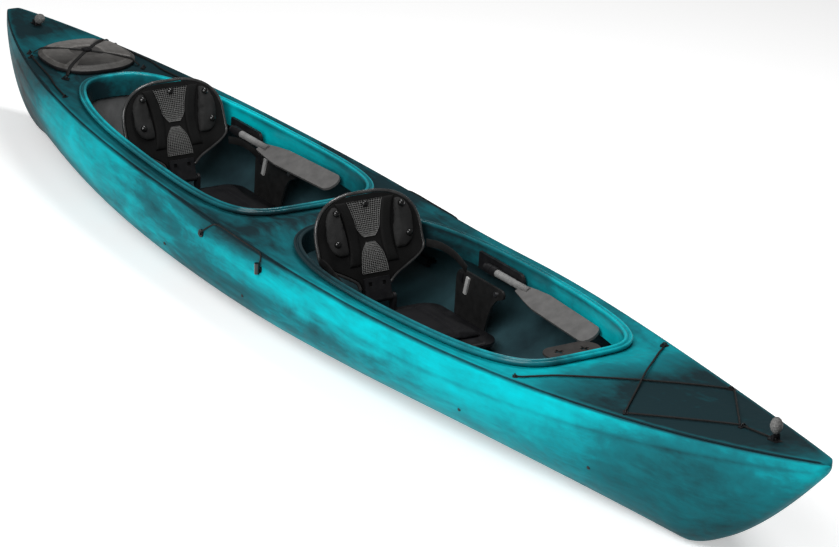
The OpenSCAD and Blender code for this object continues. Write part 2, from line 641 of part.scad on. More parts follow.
// Seat pans: a pedestal on the keel flat, a rounded deck with a front roll, and hinge ears
lug_in = 51.6;
lug_t = 10;
lug_r = 14;
pan_r = 60;
roll_r = 12;
pedestal_len = 270;
foot_w = 2 * keel_flat - 8;
floor_z = wall + 0.3;
module rounded_plate(l, w, r, h) {
    translate([0, -w + r, 0]) cube([l, 2 * (w - r), h]);
    translate([r, -w, 0]) cube([l - 2 * r, 2 * w, h]);
    for (x = [r, l - r]) for (s = [-1, 1]) translate([x, s * (w - r), 0]) cylinder(h = h, r = r);
}
module seat_pan(sx) {
    color(black) translate([sx, 0, 0]) difference() {
        union() {
            translate([-20, 0, pan_z]) rounded_plate(pan_len, pan_half, pan_r, pan_t);
            translate([20, -foot_w / 2, floor_z]) cube([pedestal_len, foot_w, pan_z - floor_z + 1]);
            translate([pan_len - 32, -pan_half + pan_r, pan_z + 3]) rotate([-90, 0, 0])
                cylinder(h = 2 * (pan_half - pan_r), r = roll_r);
            for (s = [-1, 1]) translate([0, s > 0 ? lug_in : -lug_in - lug_t, 0]) {
                translate([-lug_r, 0, pan_z]) cube([2 * lug_r, lug_t, hinge_z - pan_z]);
                translate([0, lug_t, hinge_z]) rotate([90, 0, 0]) cylinder(h = lug_t, r = lug_r);
            }
        }
        translate([0, 0, hinge_z]) rotate([90, 0, 0])
            cylinder(h = 4 * lug_in, r = pin_r + run_gap, center = true);
    }
}
module front_seat_pan() { seat_pan(front_seat_x); }
module rear_seat_pan() { seat_pan(rear_seat_x); }
module hinge_pin(sx) {
    color(steel) translate([sx, 0, hinge_z]) rotate([90, 0, 0])
        cylinder(h = 2 * (lug_in + lug_t), r = pin_r, center = true);
}
module front_hinge_pin() { hinge_pin(front_seat_x); }
module rear_hinge_pin() { hinge_pin(rear_seat_x); }

// A closed sheet between a front and a back grid of points
function sheet_faces(r, c) = let (b = r * c) flat(concat(
    [for (i = [0:r - 2]) for (j = [0:c - 2]) let (p = i * c + j) concat(
        quad(p, p + c, p + c + 1, p + 1), quad(b + p, b + p + 1, b + p + c + 1, b + p + c))],
    [for (j = [0:c - 2]) let (p = j, q = (r - 1) * c + j) concat(
        quad(p, p + 1, b + p + 1, b + p), quad(q + 1, q, b + q, b + q + 1))],
    [for (i = [0:r - 2]) let (p = i * c, q = i * c + c - 1) concat(
        quad(p + c, p, b + p, b + p + c), quad(q, q + c, b + q + c, b + q))]));
module sheet(fore, aft) {
    polyhedron(flat(concat(fore, aft)), sheet_faces(len(fore), len(fore[0])));
}

// Seat cushions: crowned, drawn in along the sides, with a channel down the middle
cushion_x = 16;
cushion_len = 300;
cushion_half = 195;
cushion_edge = 5;
channel_d = 5;
channel_w = 18;
draw_in = 0.05;
module cushion(sx) {
    n = 10;
    base = pan_z + pan_t + fit;
    function edge(t) = 1 - draw_in * sin(180 * (t + 1) / 2);
    function swell(a, b) = pow(max(0, (1 - pow(abs(a), 6)) * (1 - pow(abs(b), 6))), 0.5);
    function channel(b) = channel_d * exp(-pow(b * cushion_half / channel_w, 2));
    function top(a, b) = cushion_edge + (cushion_h - cushion_edge - channel(b)) * swell(a, b);
    function pt(a, b, h) = [sx + cushion_x + cushion_len * (a * edge(b) + 1) / 2,
        b * cushion_half * edge(a), base + h];
    grid = [for (i = [0:n]) sin(-90 + 180 * i / n)];
    color(charcoal) sheet([for (b = grid) [for (a = grid) pt(a, b, top(a, b))]],
        [for (b = grid) [for (a = grid) pt(a, b, 0)]]);
}
module front_seat_cushion() { cushion(front_seat_x); }
module rear_seat_cushion() { cushion(rear_seat_x); }

// Hip panels standing on the sides of the pans
panel_t = 8;
panel_top = 240;
panel_x0 = 98;
panel_x1 = 360;
panel_foot = 262;
panel_fore = 16;
panel_aft = 40;
// Points along the front edge, which leans forward towards the top
panel_edge = [[284, 140], [300, 172], [322, 198]];
module hip_panels(sx) {
    fore = [panel_x1, panel_top] - panel_fore * [1, 1];
    aft = [panel_x0 + panel_aft, panel_top - panel_aft];
    outline = concat([[panel_x0, pan_z], [panel_foot, pan_z]], panel_edge,
        [for (a = [-45:15:90]) fore + panel_fore * [cos(a), sin(a)]],
        [for (a = [90:15:180]) aft + panel_aft * [cos(a), sin(a)]]);
    color(black) for (s = [0, 1]) mirror([0, s, 0]) translate([sx, pan_half + panel_t + fit, 0])
        rotate([90, 0, 0]) linear_extrude(panel_t) polygon(outline);
}
module front_hip_panels() { hip_panels(front_seat_x); }
module rear_hip_panels() { hip_panels(rear_seat_x); }

// Seat backs, in their own frame: x forward, y to port, z up from the hinge
module on_back(sx) { translate([sx, 0, hinge_z]) rotate([0, -recline, 0]) children(); }
back_low = 12;
foot_half = 50;
shoulder_v = 195;
function back_half(v) = v < shoulder_v ? lerp(foot_half, back_w / 2, smooth((v - 45) / 105))
    : back_w / 2 * pow(max(0, 1 - pow((v - shoulder_v) / (back_h - shoulder_v), 2.6)), 1 / 2.6);
function back_face(u, v) = back_curl * pow(u / (back_w / 2), 2) + 7 * exp(-pow((v - 110) / 60, 2));
back_rows = 12;
back_v = [for (i = [0:back_rows]) lerp(back_low, back_h - 1, sin(90 * i / back_rows))];
module back_shell(sx) {
    cols = [for (j = [-6:6]) j / 6];
    function grid(off) = [for (v = back_v) [for (t = cols)
        let (u = t * back_half(v)) [back_face(u, v) - off, u, v]]];
    color(black) on_back(sx) sheet(grid(0), grid(back_t));
}
module front_back_shell() { back_shell(front_seat_x); }
module rear_back_shell() { back_shell(rear_seat_x); }
// A raised patch on the face of a seat back, between two edges given as functions of height
patch_rows = 8;
patch_cols = 6;
module back_patch(rows, h) {
    function grid(lift) = [for (i = [0:patch_rows]) let (r = rows[i], v = r[0]) [for (j = [0:patch_cols])
        let (t = j / patch_cols, u = lerp(r[1], r[2], t), a = 2 * i / patch_rows - 1, b = 2 * t - 1,
            swell = pow((1 - pow(a, 6)) * (1 - pow(b, 6)), 0.5))
        [back_face(u, v) + skin_gap + lift * (0.35 + 0.65 * swell), u, v]]];
    sheet(grid(h), grid(0));
}
function rib_u(v) = 62 + 22 * pow((v - 190) / 115, 2);
rib_half = 20;
// Seam between a rib and what lies beside it
seam_w = 3;
function rise(v0, v1) = [for (i = [0:patch_rows]) lerp(v0, v1, i / patch_rows)];
pad_h = 22;
rib_h = 8;
mesh_h = 3;
// Lower and upper ends of the patches, over the hinge
rib_ends = [112, back_h - 18];
upper_mesh = [back_h - 135, back_h - 19];
lower_mesh = [86, back_h - 152];
// Heights where the panels' rounded ends close
upper_close = back_h - 149;
lower_close = back_h - 136;
module back_pads(sx) {
    mid = back_h - 106;
    reach = 84;
    rows = [for (v = rise(mid - reach, mid + reach)) let (a = rib_u(v) + rib_half + seam_w)
        [v, a, max(a + 14, 80 + 84 * pow(1 - pow(abs(v - mid) / (reach + 4), 2.5), 0.4))]];
    color(charcoal) on_back(sx) for (s = [0, 1]) mirror([0, s, 0]) back_patch(rows, pad_h);
}
module front_back_pads() { back_pads(front_seat_x); }
module rear_back_pads() { back_pads(rear_seat_x); }
module back_ribs(sx) {
    rows = [for (v = rise(rib_ends[0], rib_ends[1])) [v, rib_u(v) - rib_half, rib_u(v) + rib_half]];
    color(black) on_back(sx) for (s = [0, 1]) mirror([0, s, 0]) back_patch(rows, rib_h);
}
module front_back_ribs() { back_ribs(front_seat_x); }
module rear_back_ribs() { back_ribs(rear_seat_x); }
module back_mesh(sx) {
    upper = [for (v = rise(upper_mesh[0], upper_mesh[1]))
        let (w = (rib_u(v) - rib_half - seam_w) * pow(smooth((v - upper_close) / 56), 0.5)) [v, -w, w]];
    lower = [for (v = rise(lower_mesh[0], lower_mesh[1]))
        let (w = lerp(50, 38, smooth((v - 86) / 90)) * pow(smooth((lower_close - v) / 60), 0.5)) [v, -w, w]];
    color(grey) on_back(sx) for (rows = [upper, lower]) back_patch(rows, mesh_h);
}
module front_back_mesh() { back_mesh(front_seat_x); }
module rear_back_mesh() { back_mesh(rear_seat_x); }
// Piping round the edge of a seat back
trim_r = 4.5;
trim_gap = 0.7;
module back_trim(sx) {
    half = [for (i = [1:back_rows]) [back_half(back_v[i]), back_v[i]]];
    n = len(half);
    line = concat([for (p = half) [-p[0], p[1]]], [[0, back_h - 1]], [for (k = [n - 1:-1:0]) half[k]]);
    m = len(line);
    function out(i) = let (d = unit(line[min(i + 1, m - 1)] - line[max(i - 1, 0)])) [-d[1], d[0]];
    pts = [for (i = [0:m - 1]) let (p = line[i], q = p + out(i) * (trim_r + trim_gap))
        [back_face(p[0], p[1]) - back_t / 2, q[0], q[1]]];
    t = tangents(pts);
    function ring(i) = let (side = unit(cross(t[i], [1, 0, 0])))
        [for (a = [0:60:300]) pts[i] + trim_r * (cos(a) * [1, 0, 0] + sin(a) * side)];
    color(grey) on_back(sx) skin([for (i = [0:m - 1]) ring(i)], false);
}
module front_back_trim() { back_trim(front_seat_x); }
module rear_back_trim() { back_trim(rear_seat_x); }
// Rivets: two on each pad and one at the top of the upper mesh
rivet_r = 7;
rivet_h = 6;
rivet_sink = 3;
rivet_upper = back_h - 47;
rivet_lower = back_h - 144;
rivet_spots = [[122, rivet_upper, pad_h], [-122, rivet_upper, pad_h], [134, rivet_lower, pad_h],
    [-134, rivet_lower, pad_h], [0, back_h - 31, mesh_h]];
module back_rivets(sx) {
    color(black) on_back(sx) for (p = rivet_spots)
        translate([back_face(p[0], p[1]) + skin_gap + p[2] - rivet_sink, p[0], p[1]]) rotate([0, 90, 0]) {
            cylinder(h = rivet_h, r = rivet_r);
            translate([0, 0, rivet_h]) cylinder(h = 2, r1 = rivet_r, r2 = rivet_r - 3);
        }
}
module front_back_rivets() { back_rivets(front_seat_x); }
module rear_back_rivets() { back_rivets(rear_seat_x); }
// Hinge bracket at the foot of a seat back: a knuckle, a web and a plate with two square holes
knuckle_r = 11;
plate_h = 70;
plate_hole_z = 50;
plate_t = 5;
plate_hole = 13;
module back_hinge(sx) {
    face = back_face(foot_half, plate_h) + skin_gap;
    w = foot_half - 2;
    color(black) on_back(sx) difference() {
        union() {
            rotate([90, 0, 0]) cylinder(h = 2 * (lug_in - fit), r = knuckle_r, center = true);
            translate([face, -w, 0]) cube([plate_t, 2 * w, plate_h]);
        }
        rotate([90, 0, 0]) cylinder(h = 4 * lug_in, r = pin_r + run_gap, center = true);
        for (s = [-1, 1]) translate([face + 2, s * 26, plate_hole_z])
            cube([4 * plate_t, plate_hole, plate_hole], center = true);
    }
}
module front_back_hinge() { back_hinge(front_seat_x); }
module rear_back_hinge() { back_hinge(rear_seat_x); }
// Straps from the sides of a seat back to the buckles on the hip panels
// The rear straps run lower, under the knee rests' rails
rear_strap_drop = 42;
strap_line = [[-42, 201, 274], [20, 214, 281], [90, 224, 271], [156, 224, 248]];
module back_straps(sx, drop) {
    half = strap_w / 2;
    function row(z, y) = [for (p = strap_line) [sx + p[0], p[1] + y, p[2] - drop + z]];
    for (s = [0, 1]) color(black) mirror([0, s, 0])
        sheet([row(-half, 0), row(half, 0)], [row(-half, strap_t), row(half, strap_t)]);
}
module front_back_straps() { back_straps(front_seat_x, 0); }
module rear_back_straps() { back_straps(rear_seat_x, rear_strap_drop); }
buckle_bar = [15, 7, 62];
buckle_clip = [17, 5, 30];
buckle_top = 228;
buckle_x = 148;
buckle_lean = 14;
clip_x = 122;
module strap_buckles() {
    y = pan_half + fit;
    for (sx = seats) for (s = [0, 1]) mirror([0, s, 0]) {
        color(grey) translate([sx + buckle_x, y - buckle_bar[1], buckle_top - buckle_bar[2]])
            rotate([0, buckle_lean, 0]) cube(buckle_bar);
        color(charcoal) translate([sx + clip_x, y - buckle_clip[1], buckle_top - buckle_clip[2]])
            cube(buckle_clip);
    }
}

// Knee rests: a plate on a ridged rail that slides in two clamps under the coaming
rail_z = 270;
rail_in = 37;
clamp_r = 16;
clamp_t = 24;
clamps = [-172, -146];
// Both ends of a bracket's plate, from where the rail meets the knee plate, and half its height
front_bracket = [-262, -18];
rear_bracket = [-236, -40];
bracket_half = 28;
bracket_t = 11;
bracket_r = 24;
function rail_y(o, kx) = min([for (c = clamps) open_half(o, kx + c)]) - coaming_in - rail_in;
module at_knee(o, kx, side) {
    mirror([0, side < 0 ? 1 : 0, 0]) translate([kx, rail_y(o, kx), rail_z]) children();
}
// A bolted plate with two clamps round the rail and two stubs into the coaming's wall
stub_r = 8;
stub_sink = 2;
module knee_bracket(o, kx, ends) {
    y0 = clamp_r + 1;
    fore = ends[1] - bracket_r;
    straight = bracket_half - bracket_r;
    difference() {
        union() {
            translate([ends[0], y0, -bracket_half]) cube([fore - ends[0], bracket_t, 2 * bracket_half]);
            translate([fore - 1, y0, -straight]) cube([bracket_r + 1, bracket_t, 2 * straight]);
            for (z = [-straight, straight]) translate([fore, y0 + bracket_t, z]) rotate([90, 0, 0])
                cylinder(h = bracket_t, r = bracket_r);
            for (c = clamps) translate([c, 0, 0]) {
                stub = open_half(o, kx + c) - coaming_in + stub_sink - rail_y(o, kx) - y0 - 1;
                rotate([0, 90, 0]) cylinder(h = clamp_t, r = clamp_r, center = true);
                translate([-clamp_t / 2, 0, -10]) cube([clamp_t, y0 + 1, 20]);
                translate([0, y0 + 1, 6]) rotate([-90, 0, 0]) cylinder(h = stub, r = stub_r);
            }
        }
        rotate([0, 90, 0]) cylinder(h = 2 * knee_len, r = rail_r + run_gap, center = true);
    }
}
module knee_brackets() {
    for (s = [-1, 1]) {
        color(black) at_knee(front, front_knee_x, s) knee_bracket(front, front_knee_x, front_bracket);
        color(black) at_knee(rear, rear_knee_x, s) knee_bracket(rear, rear_knee_x, rear_bracket);
    }
}
// Turn of the plates along the coaming's sides
front_yaw = -4;
rear_yaw = 4;
rail_back = 200;
ridge_step = 9;
ridge_cut = 1.2;
rail_plain = 28;
rail_fore = 40;
plate_neck = 17;
plate_shift = 8;
module knee_rest(o, kx, side, yaw) {
    ridges = floor((rail_back - rail_plain - 2) / ridge_step);
    low = rail_r - ridge_cut;
    notch = [[rail_r, 0.1], [rail_r, 0.5], [low, 0.6], [low, 1]];
    rail = concat([[0, 0]], [for (i = [0:ridges - 1]) for (q = notch) [q[0], (i + q[1]) * ridge_step]],
        [[rail_r, rail_back - rail_plain], [rail_r, rail_back + rail_fore], [0, rail_back + rail_fore]]);
    w = knee_wid / 2;
    tip = 0.8 * w;
    plate = concat([[0, -plate_neck], [70, -tip], [130, -w]],
        [for (a = [-90:15:90]) [knee_len - tip + tip * cos(a), w * sin(a)]],
        [[130, w], [70, tip], [0, plate_neck]]);
    color(grey) at_knee(o, kx, side) union() {
        translate([-rail_back, 0, 0]) rotate([0, 90, 0]) rotate_extrude() polygon(rail);
        rotate([0, 0, yaw]) rotate([knee_tilt, 0, 0]) translate([0, -plate_shift, -knee_t / 2])
            linear_extrude(knee_t) polygon(plate);
    }
}
module front_port_knee_rest() { knee_rest(front, front_knee_x, 1, front_yaw); }
module front_starboard_knee_rest() { knee_rest(front, front_knee_x, -1, front_yaw); }
module rear_port_knee_rest() { knee_rest(rear, rear_knee_x, 1, rear_yaw); }
module rear_starboard_knee_rest() { knee_rest(rear, rear_knee_x, -1, rear_yaw); }

// Foot braces: a rail along the inside of the hull and a pedal that slides on it
foot_gap = 34;
foot_end = 26;
foot_pad = 10;
function foot_y(x, z) = hull_y(x, z) - wall - foot_gap;
function foot_a(f) = [f[0], foot_y(f[0], f[1])];
function foot_b(f) = [f[0] + foot_len, foot_y(f[0] + foot_len, f[1])];
front_foot = [front_foot_x, front_foot_z];
rear_foot = [rear_foot_x, rear_foot_z];
feet = [front_foot, rear_foot];
module at_foot(f, side) {
    d = foot_b(f) - foot_a(f);
    mirror([0, side < 0 ? 1 : 0, 0]) translate([foot_a(f)[0], foot_a(f)[1], f[1]])
        rotate([0, 0, atan2(d[1], d[0])]) children();
}
function foot_run(f) = norm(foot_b(f) - foot_a(f));
module foot_rails() {
    color(charcoal) for (f = feet) for (s = [-1, 1]) at_foot(f, s) {
        translate([0, -foot_rail_t / 2, -foot_rail_h / 2]) cube([foot_run(f), foot_rail_t, foot_rail_h]);
        for (x = [0, foot_run(f) - foot_end]) translate([x, foot_rail_t / 2 - 1, -foot_pad / 2])
            cube([foot_end, foot_gap - foot_rail_t / 2, foot_pad]);
    }
}
pedal_at = 190;
pedal_len = 60;
pedal_wall = 7;
pedal_gap = 0.5;
pedal_wid = 88;
pedal_back = 5;
tread = [14, 104];
tread_low = -46;
groove = [5, 7];
rib = [34, 42, 16];
// A sleeve round the rail, a grooved tread and a rib between them
module pedal(f, side) {
    t = foot_rail_t / 2 + pedal_gap;
    h = foot_rail_h / 2 + pedal_gap;
    high = 2 * (h + pedal_wall);
    color(grey) at_foot(f, side) translate([pedal_at - pedal_len / 2, 0, 0]) {
        difference() {
            translate([0, -t - pedal_wall, -high / 2])
                cube([pedal_len, 2 * t + pedal_wall + pedal_back, high]);
            translate([-1, -t, -h]) cube([pedal_len + 2, 2 * t, 2 * h]);
        }
        difference() {
            translate([0, -t - pedal_wid, tread_low]) cube([tread[0], pedal_wid - pedal_wall + 1, tread[1]]);
            for (z = [tread_low + 16:18:tread_low + tread[1] - 16])
                translate([-1, -t - pedal_wid + 8, z]) cube([groove[0], pedal_wid - 26, groove[1]]);
        }
        translate([tread[0] - 4, -t - pedal_wall + 2 - rib[1], -rib[2] / 2]) cube(rib);
    }
}
module front_port_pedal() { pedal(front_foot, 1); }
module front_starboard_pedal() { pedal(front_foot, -1); }
module rear_port_pedal() { pedal(rear_foot, 1); }
module rear_starboard_pedal() { pedal(rear_foot, -1); }

// Screws: the foot rails' through the hull, and the hip panels' bolts
screw_r = 3;
bolt_x = 318;
bolt_z = 219;
module screws() {
    ends = [foot_end / 2, foot_len - foot_end / 2];
    color(steel) for (f = feet) for (s = [0, 1]) mirror([0, s, 0]) for (e = ends)
        translate([f[0] + e, hull_y(f[0] + e, f[1]) - wall - 4, f[1]]) rotate([-90, 0, 0]) {
            cylinder(h = wall + 5, r = screw_r);
            translate([0, 0, wall + 3]) cylinder(h = 3.5, r1 = 7, r2 = 4.5);
        }
    color(steel) for (sx = seats) for (s = [0, 1]) mirror([0, s, 0])
        translate([sx + bolt_x, pan_half - 4, bolt_z]) rotate([-90, 0, 0]) {
            cylinder(h = 4 + fit - 0.1, r = 8);
            cylinder(h = panel_t + 4, r = screw_r);
        }
}

hull();
deck();
front_coaming();
rear_coaming();
stern_bulkhead();
bow_bulkhead();
hatch_rim();
hatch_gasket();
hatch_cover();
hatch_straps();
hatch_buckle();
hatch_pad_eyes();
bow_pad_eyes();
bow_bungee();
stern_deck_line();
toggle_bases();
bow_toggle();
bow_toggle_eye();
stern_toggle();
stern_toggle_eye();
keeper_cords();
keeper_pad_eyes();
keeper_knobs();
console_tray();
front_seat_pan();
rear_seat_pan();
front_seat_cushion();
rear_seat_cushion();
front_hip_panels();
rear_hip_panels();
front_back_shell();
rear_back_shell();
front_back_pads();
rear_back_pads();
front_back_ribs();
rear_back_ribs();
front_back_mesh();
rear_back_mesh();
front_back_trim();
rear_back_trim();
front_back_rivets();
rear_back_rivets();
front_back_hinge();
rear_back_hinge();
front_hinge_pin();
rear_hinge_pin();
front_back_straps();
rear_back_straps();
strap_buckles();
knee_brackets();
front_port_knee_rest();
front_starboard_knee_rest();
rear_port_knee_rest();
rear_starboard_knee_rest();
foot_rails();
front_port_pedal();
front_starboard_pedal();
rear_port_pedal();
rear_starboard_pedal();
screws();
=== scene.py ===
"""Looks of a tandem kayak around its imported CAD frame.

Metres, +X to the bow, +Y to port and +Z up, with the origin under the middle of the keel.
The lines of the hull, the openings and the seats repeat the formulas of the CAD source.
"""
import math

import bmesh
import bpy
import numpy as np
from mathutils import Matrix, Vector


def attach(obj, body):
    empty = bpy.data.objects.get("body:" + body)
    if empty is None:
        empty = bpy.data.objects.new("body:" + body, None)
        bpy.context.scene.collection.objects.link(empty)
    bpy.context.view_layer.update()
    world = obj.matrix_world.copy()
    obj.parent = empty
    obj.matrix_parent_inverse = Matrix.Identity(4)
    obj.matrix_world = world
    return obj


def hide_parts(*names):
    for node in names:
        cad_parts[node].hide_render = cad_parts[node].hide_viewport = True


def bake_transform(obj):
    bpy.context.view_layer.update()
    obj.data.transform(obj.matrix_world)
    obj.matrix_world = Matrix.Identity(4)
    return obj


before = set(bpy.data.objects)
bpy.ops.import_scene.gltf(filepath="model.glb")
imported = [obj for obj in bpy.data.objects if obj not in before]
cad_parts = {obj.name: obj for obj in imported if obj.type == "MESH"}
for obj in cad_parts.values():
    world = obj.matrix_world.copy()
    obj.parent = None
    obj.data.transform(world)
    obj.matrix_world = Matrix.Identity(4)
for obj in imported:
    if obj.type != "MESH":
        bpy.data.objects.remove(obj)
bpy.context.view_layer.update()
MM = 0.001

# Hull
END = 2.36
MID_X = 0.48
NOSE_HALF = 0.015
NOSE_H = 0.028
NOSE_ROUND = 0.026
DECK_HALF = 0.367
FLARE = 0.013
SIDE_H = 0.315
BOW_RISE = 0.132
STERN_RISE = 0.073
DIP = 0.010
SHOULDER = 0.085
WALL = 0.005
KEEL_HALF = 0.036
STEM_X = 1.83
POST_X = 2.03
CORE = (END - 0.036) / END

# Deck
DECK_WALL = 0.0045
SEAM = 0.0003
CROWN = 0.018
GUTTER = 0.008
INSET = 0.062
# Where the deck sinks beside a cockpit, past its ends and in from the deck edge, and over what length
SINK_AFT = (0.09, 0.08)
SINK_FORE = (0.13, 0.12)
SINK_EDGE = (0.008, 0.028)
# Openings: both ends, squareness aft and fore, and a half width if it is fixed
FRONT = (-0.080, 1.235, 3.0, 5.0, 0.0)
REAR = (-1.600, -0.250, 3.4, 5.0, 0.0)
HATCH = (-1.904, -1.664, 3.0, 3.0, 0.142)
HATCH_X = -1.784
COVER_L = 0.140
COVER_W = 0.162

# Seats
SEATS = {"front": 0.150, "rear": -1.085}
HINGE_Z = 0.130
RECLINE = math.radians(21)
BACK_H = 0.336
BACK_HALF = 0.188
BACK_T = 0.014
PAN_TOP = 0.079

scene = bpy.context.scene


# Small helpers
def lerp(a, b, t):
    return a + (b - a) * t


def smooth(t):
    c = np.clip(t, 0, 1)
    return c * c * (3 - 2 * c)


def bell(x, centre, width):
    return np.exp(-((x - centre) / width) ** 2)


def chaikin(points, rounds):
    """A closed outline with its corners cut, each round a little softer."""
    p = np.asarray(points, float)
    for _ in range(rounds):
        q = np.roll(p, -1, 0)
        p = np.stack([0.75 * p + 0.25 * q, 0.25 * p + 0.75 * q], 1).reshape(-1, p.shape[1])
    return p


def curve_through(points, steps):
    """A smooth open line through points, with this many steps between neighbours."""
    p = np.asarray(points, float)
    p = np.vstack([2 * p[0] - p[1], p, 2 * p[-1] - p[-2]])
    t = np.linspace(0, 1, steps, endpoint=False)[:, None]
    out = []
    for a, b, c, d in zip(p[:-3], p[1:-2], p[2:-1], p[3:]):
        out.append(0.5 * (2 * b + (c - a) * t + (2 * a - 5 * b + 4 * c - d) * t**2
                          + (3 * b - a - 3 * c + d) * t**3))
    return np.vstack(out + [p[-2:-1]])


def lengths(line):
    """How far along a line each of its points lies."""
    return np.concatenate([[0], np.cumsum(np.linalg.norm(np.diff(line, axis=0), axis=1))])


def unit(rows):
    return rows / np.linalg.norm(rows, axis=1)[:, None]


def squared(wave, n):
    """A sine or cosine of a rounded square, with sharper corners the larger n is."""
    return np.sign(wave) * np.abs(wave) ** (2 / n)


# Lines of the hull
def fullness(x):
    fore = np.clip((x - MID_X) / (END - MID_X), 0, 1)
    aft = np.clip((MID_X - x) / (END + MID_X), 0, 1)
    return np.where(x > MID_X, (1 - fore**1.75) ** 0.93, (1 - aft**3.4) ** 0.91)


def edge_y(x):
    return NOSE_HALF + (DECK_HALF - NOSE_HALF) * fullness(x)


def beam_y(x):
    return edge_y(x) + FLARE * fullness(x)


def edge_z(x):
    fore = np.clip(x / END, 0, 1)
    aft = np.clip(-x / END, 0, 1)
    return SIDE_H + BOW_RISE * fore**2.9 + STERN_RISE * aft**2.7 - DIP * bell(x, 0.15, 0.42)


def keel_z(x):
    stem = np.clip((x - STEM_X) / (END - STEM_X), 0, 1)
    post = np.clip((-x - POST_X) / (END - POST_X), 0, 1)
    return ((edge_z(END) - NOSE_H) * stem**1.4
            + (edge_z(-END) - NOSE_H) * (1 - np.sqrt(np.maximum(0, 1 - post**2))))


def beam_z(x):
    depth = edge_z(x) - keel_z(x)
    return edge_z(x) - np.minimum(SHOULDER * (0.4 + 0.6 * fullness(x)), 0.6 * depth)


def bilge(x):
    fore = lerp(1.74, 3.05, bell(x, -0.3, 0.78))
    aft = lerp(1.15, 3.05, bell(x, -0.3, 1.33))
    return np.where(x > -0.3, fore, aft)


def keel_y(x):
    return 0.002 + (KEEL_HALF - 0.002) * fullness(x)


def half_width(o, x):
    return o[4] if o[4] else edge_y(x) - INSET


def open_half(o, x):
    middle = (o[0] + o[1]) / 2
    t = np.clip(np.abs(x - middle) / ((o[1] - o[0]) / 2), 0, 1)
    n = np.where(x < middle, o[2], o[3])
    return half_width(o, x) * np.maximum(0, 1 - t**n) ** (1 / n)


def open_y(x):
    return np.maximum.reduce([open_half(o, x) for o in (FRONT, REAR, HATCH)])


def near_cockpit(x):
    return np.maximum.reduce([smooth((x - o[0] + SINK_AFT[0]) / SINK_AFT[1])
                              * smooth((o[1] + SINK_FORE[0] - x) / SINK_FORE[1]) for o in (FRONT, REAR)])


def deck_z(x, y):
    e = edge_y(x)
    w = near_cockpit(x)
    return (edge_z(x) + (1 - w) * CROWN * fullness(x) * (1 - (y / e) ** 2)
            - w * GUTTER * smooth((e - np.abs(y) - SINK_EDGE[0]) / SINK_EDGE[1]))


def nose_share(x):
    """How much of a section is left near the rounded ends of the boat."""
    reach = np.clip((np.abs(x) - (END - NOSE_ROUND)) / NOSE_ROUND, 0, 1)
    return np.sqrt(np.maximum(0.004, 1 - reach**2))


def round_nose(p):
    """Rounds both ends of the boat, where the sections shrink towards the nose's middle."""
    k = nose_share(p[..., 0])
    middle = edge_z(p[..., 0]) - NOSE_H / 2
    out = p.copy()
    out[..., 1] = p[..., 1] * k
    out[..., 2] = middle + (p[..., 2] - middle) * k
    return out


# Meshes
def add_object(name, data):
    made = bpy.data.objects.new(name, data)
    scene.collection.objects.link(made)
    return made


def smooth_faces(mesh, on=True):
    mesh.polygons.foreach_set("use_smooth", [on] * len(mesh.polygons))


def mesh_piece(name, points, faces, *materials):
    mesh = bpy.data.meshes.new(name)
    mesh.from_pydata(np.asarray(points, float).tolist(), [], faces)
    for material in materials:
        mesh.materials.append(material)
    smooth_faces(mesh)
    return add_object(name, mesh)


def grid_faces(rows, cols, start=0, wrap=False):
    """Quads of a grid of points kept row by row; wrap joins the last column to the first."""
    faces = []
    for i in range(rows - 1):
        for j in range(cols if wrap else cols - 1):
            k = (j + 1) % cols
            a = start + i * cols
            faces.append((a + j, a + cols + j, a + cols + k, a + k))
    return faces


def capped(grid, wrap=False):
    """Points and faces of a grid, with a face over its first row and one over its last."""
    rows, cols = grid.shape[:2]
    faces = grid_faces(rows, cols, 0, wrap)
    faces += [tuple(range(cols)), tuple(range((rows - 1) * cols, rows * cols))]
    return grid.reshape(-1, 3), faces


def face_out(piece, merge=1e-7):
    """Merges doubled points and turns all faces outwards."""
    work = bmesh.new()
    work.from_mesh(piece.data)
    bmesh.ops.remove_doubles(work, verts=work.verts, dist=merge)
    bmesh.ops.recalc_face_normals(work, faces=work.faces)
    work.to_mesh(piece.data)
    work.free()
    return piece


def set_attribute(piece, name, values):
    attribute = piece.data.attributes.new(name, "FLOAT", "POINT")
    attribute.data.foreach_set("value", np.asarray(values, np.float32).ravel())


def points_of(mesh):
    co = np.zeros(len(mesh.vertices) * 3)
    mesh.vertices.foreach_get("co", co)
    return co.reshape(-1, 3)


def set_points(mesh, points):
    mesh.vertices.foreach_set("co", points.ravel())
    mesh.update()


def tube_mesh(line, radius, sides=12):
    """Points, faces, run along and turn round of a tube along a line, with rounded ends."""
    p = np.asarray(line, float)
    step = unit(np.gradient(p, axis=0))
    side = np.cross(step[0], (0, 0, 1.0))
    if np.linalg.norm(side) < 0.1:
        side = np.cross(step[0], (0, 1.0, 0))
    left = []
    for d in step:
        side = side - d * side.dot(d)
        side = side / np.linalg.norm(side)
        left.append(side)
    # Both end rings are doubled, and the outer ones drawn in
    ends = [0, *range(len(p)), len(p) - 1]
    up = np.cross(step, left)[ends]
    left = np.array(left)[ends]
    run = lengths(p)[ends]
    p = p[ends]
    p[0] -= step[0] * radius * 0.5
    p[-1] += step[-1] * radius * 0.5
    r = np.full(len(ends), radius)
    r[[0, -1]] *= 0.55
    a = np.linspace(0, 2 * math.pi, sides, endpoint=False)
    ring = np.cos(a)[None, :, None] * left[:, None] + np.sin(a)[None, :, None] * up[:, None]
    grid = p[:, None] + r[:, None, None] * ring
    return *capped(grid, True), np.repeat(run, sides), np.tile(a / (2 * math.pi), len(p))


# Corners of a flat band's section, as shares of its half width and of its thickness
BAND = [(-1, 0.25), (-0.96, 0), (0, 0), (0.96, 0), (1, 0.25), (1, 0.75), (0.96, 1), (0, 1.04), (-0.96, 1),
        (-1, 0.75)]
BAND_T = 0.002


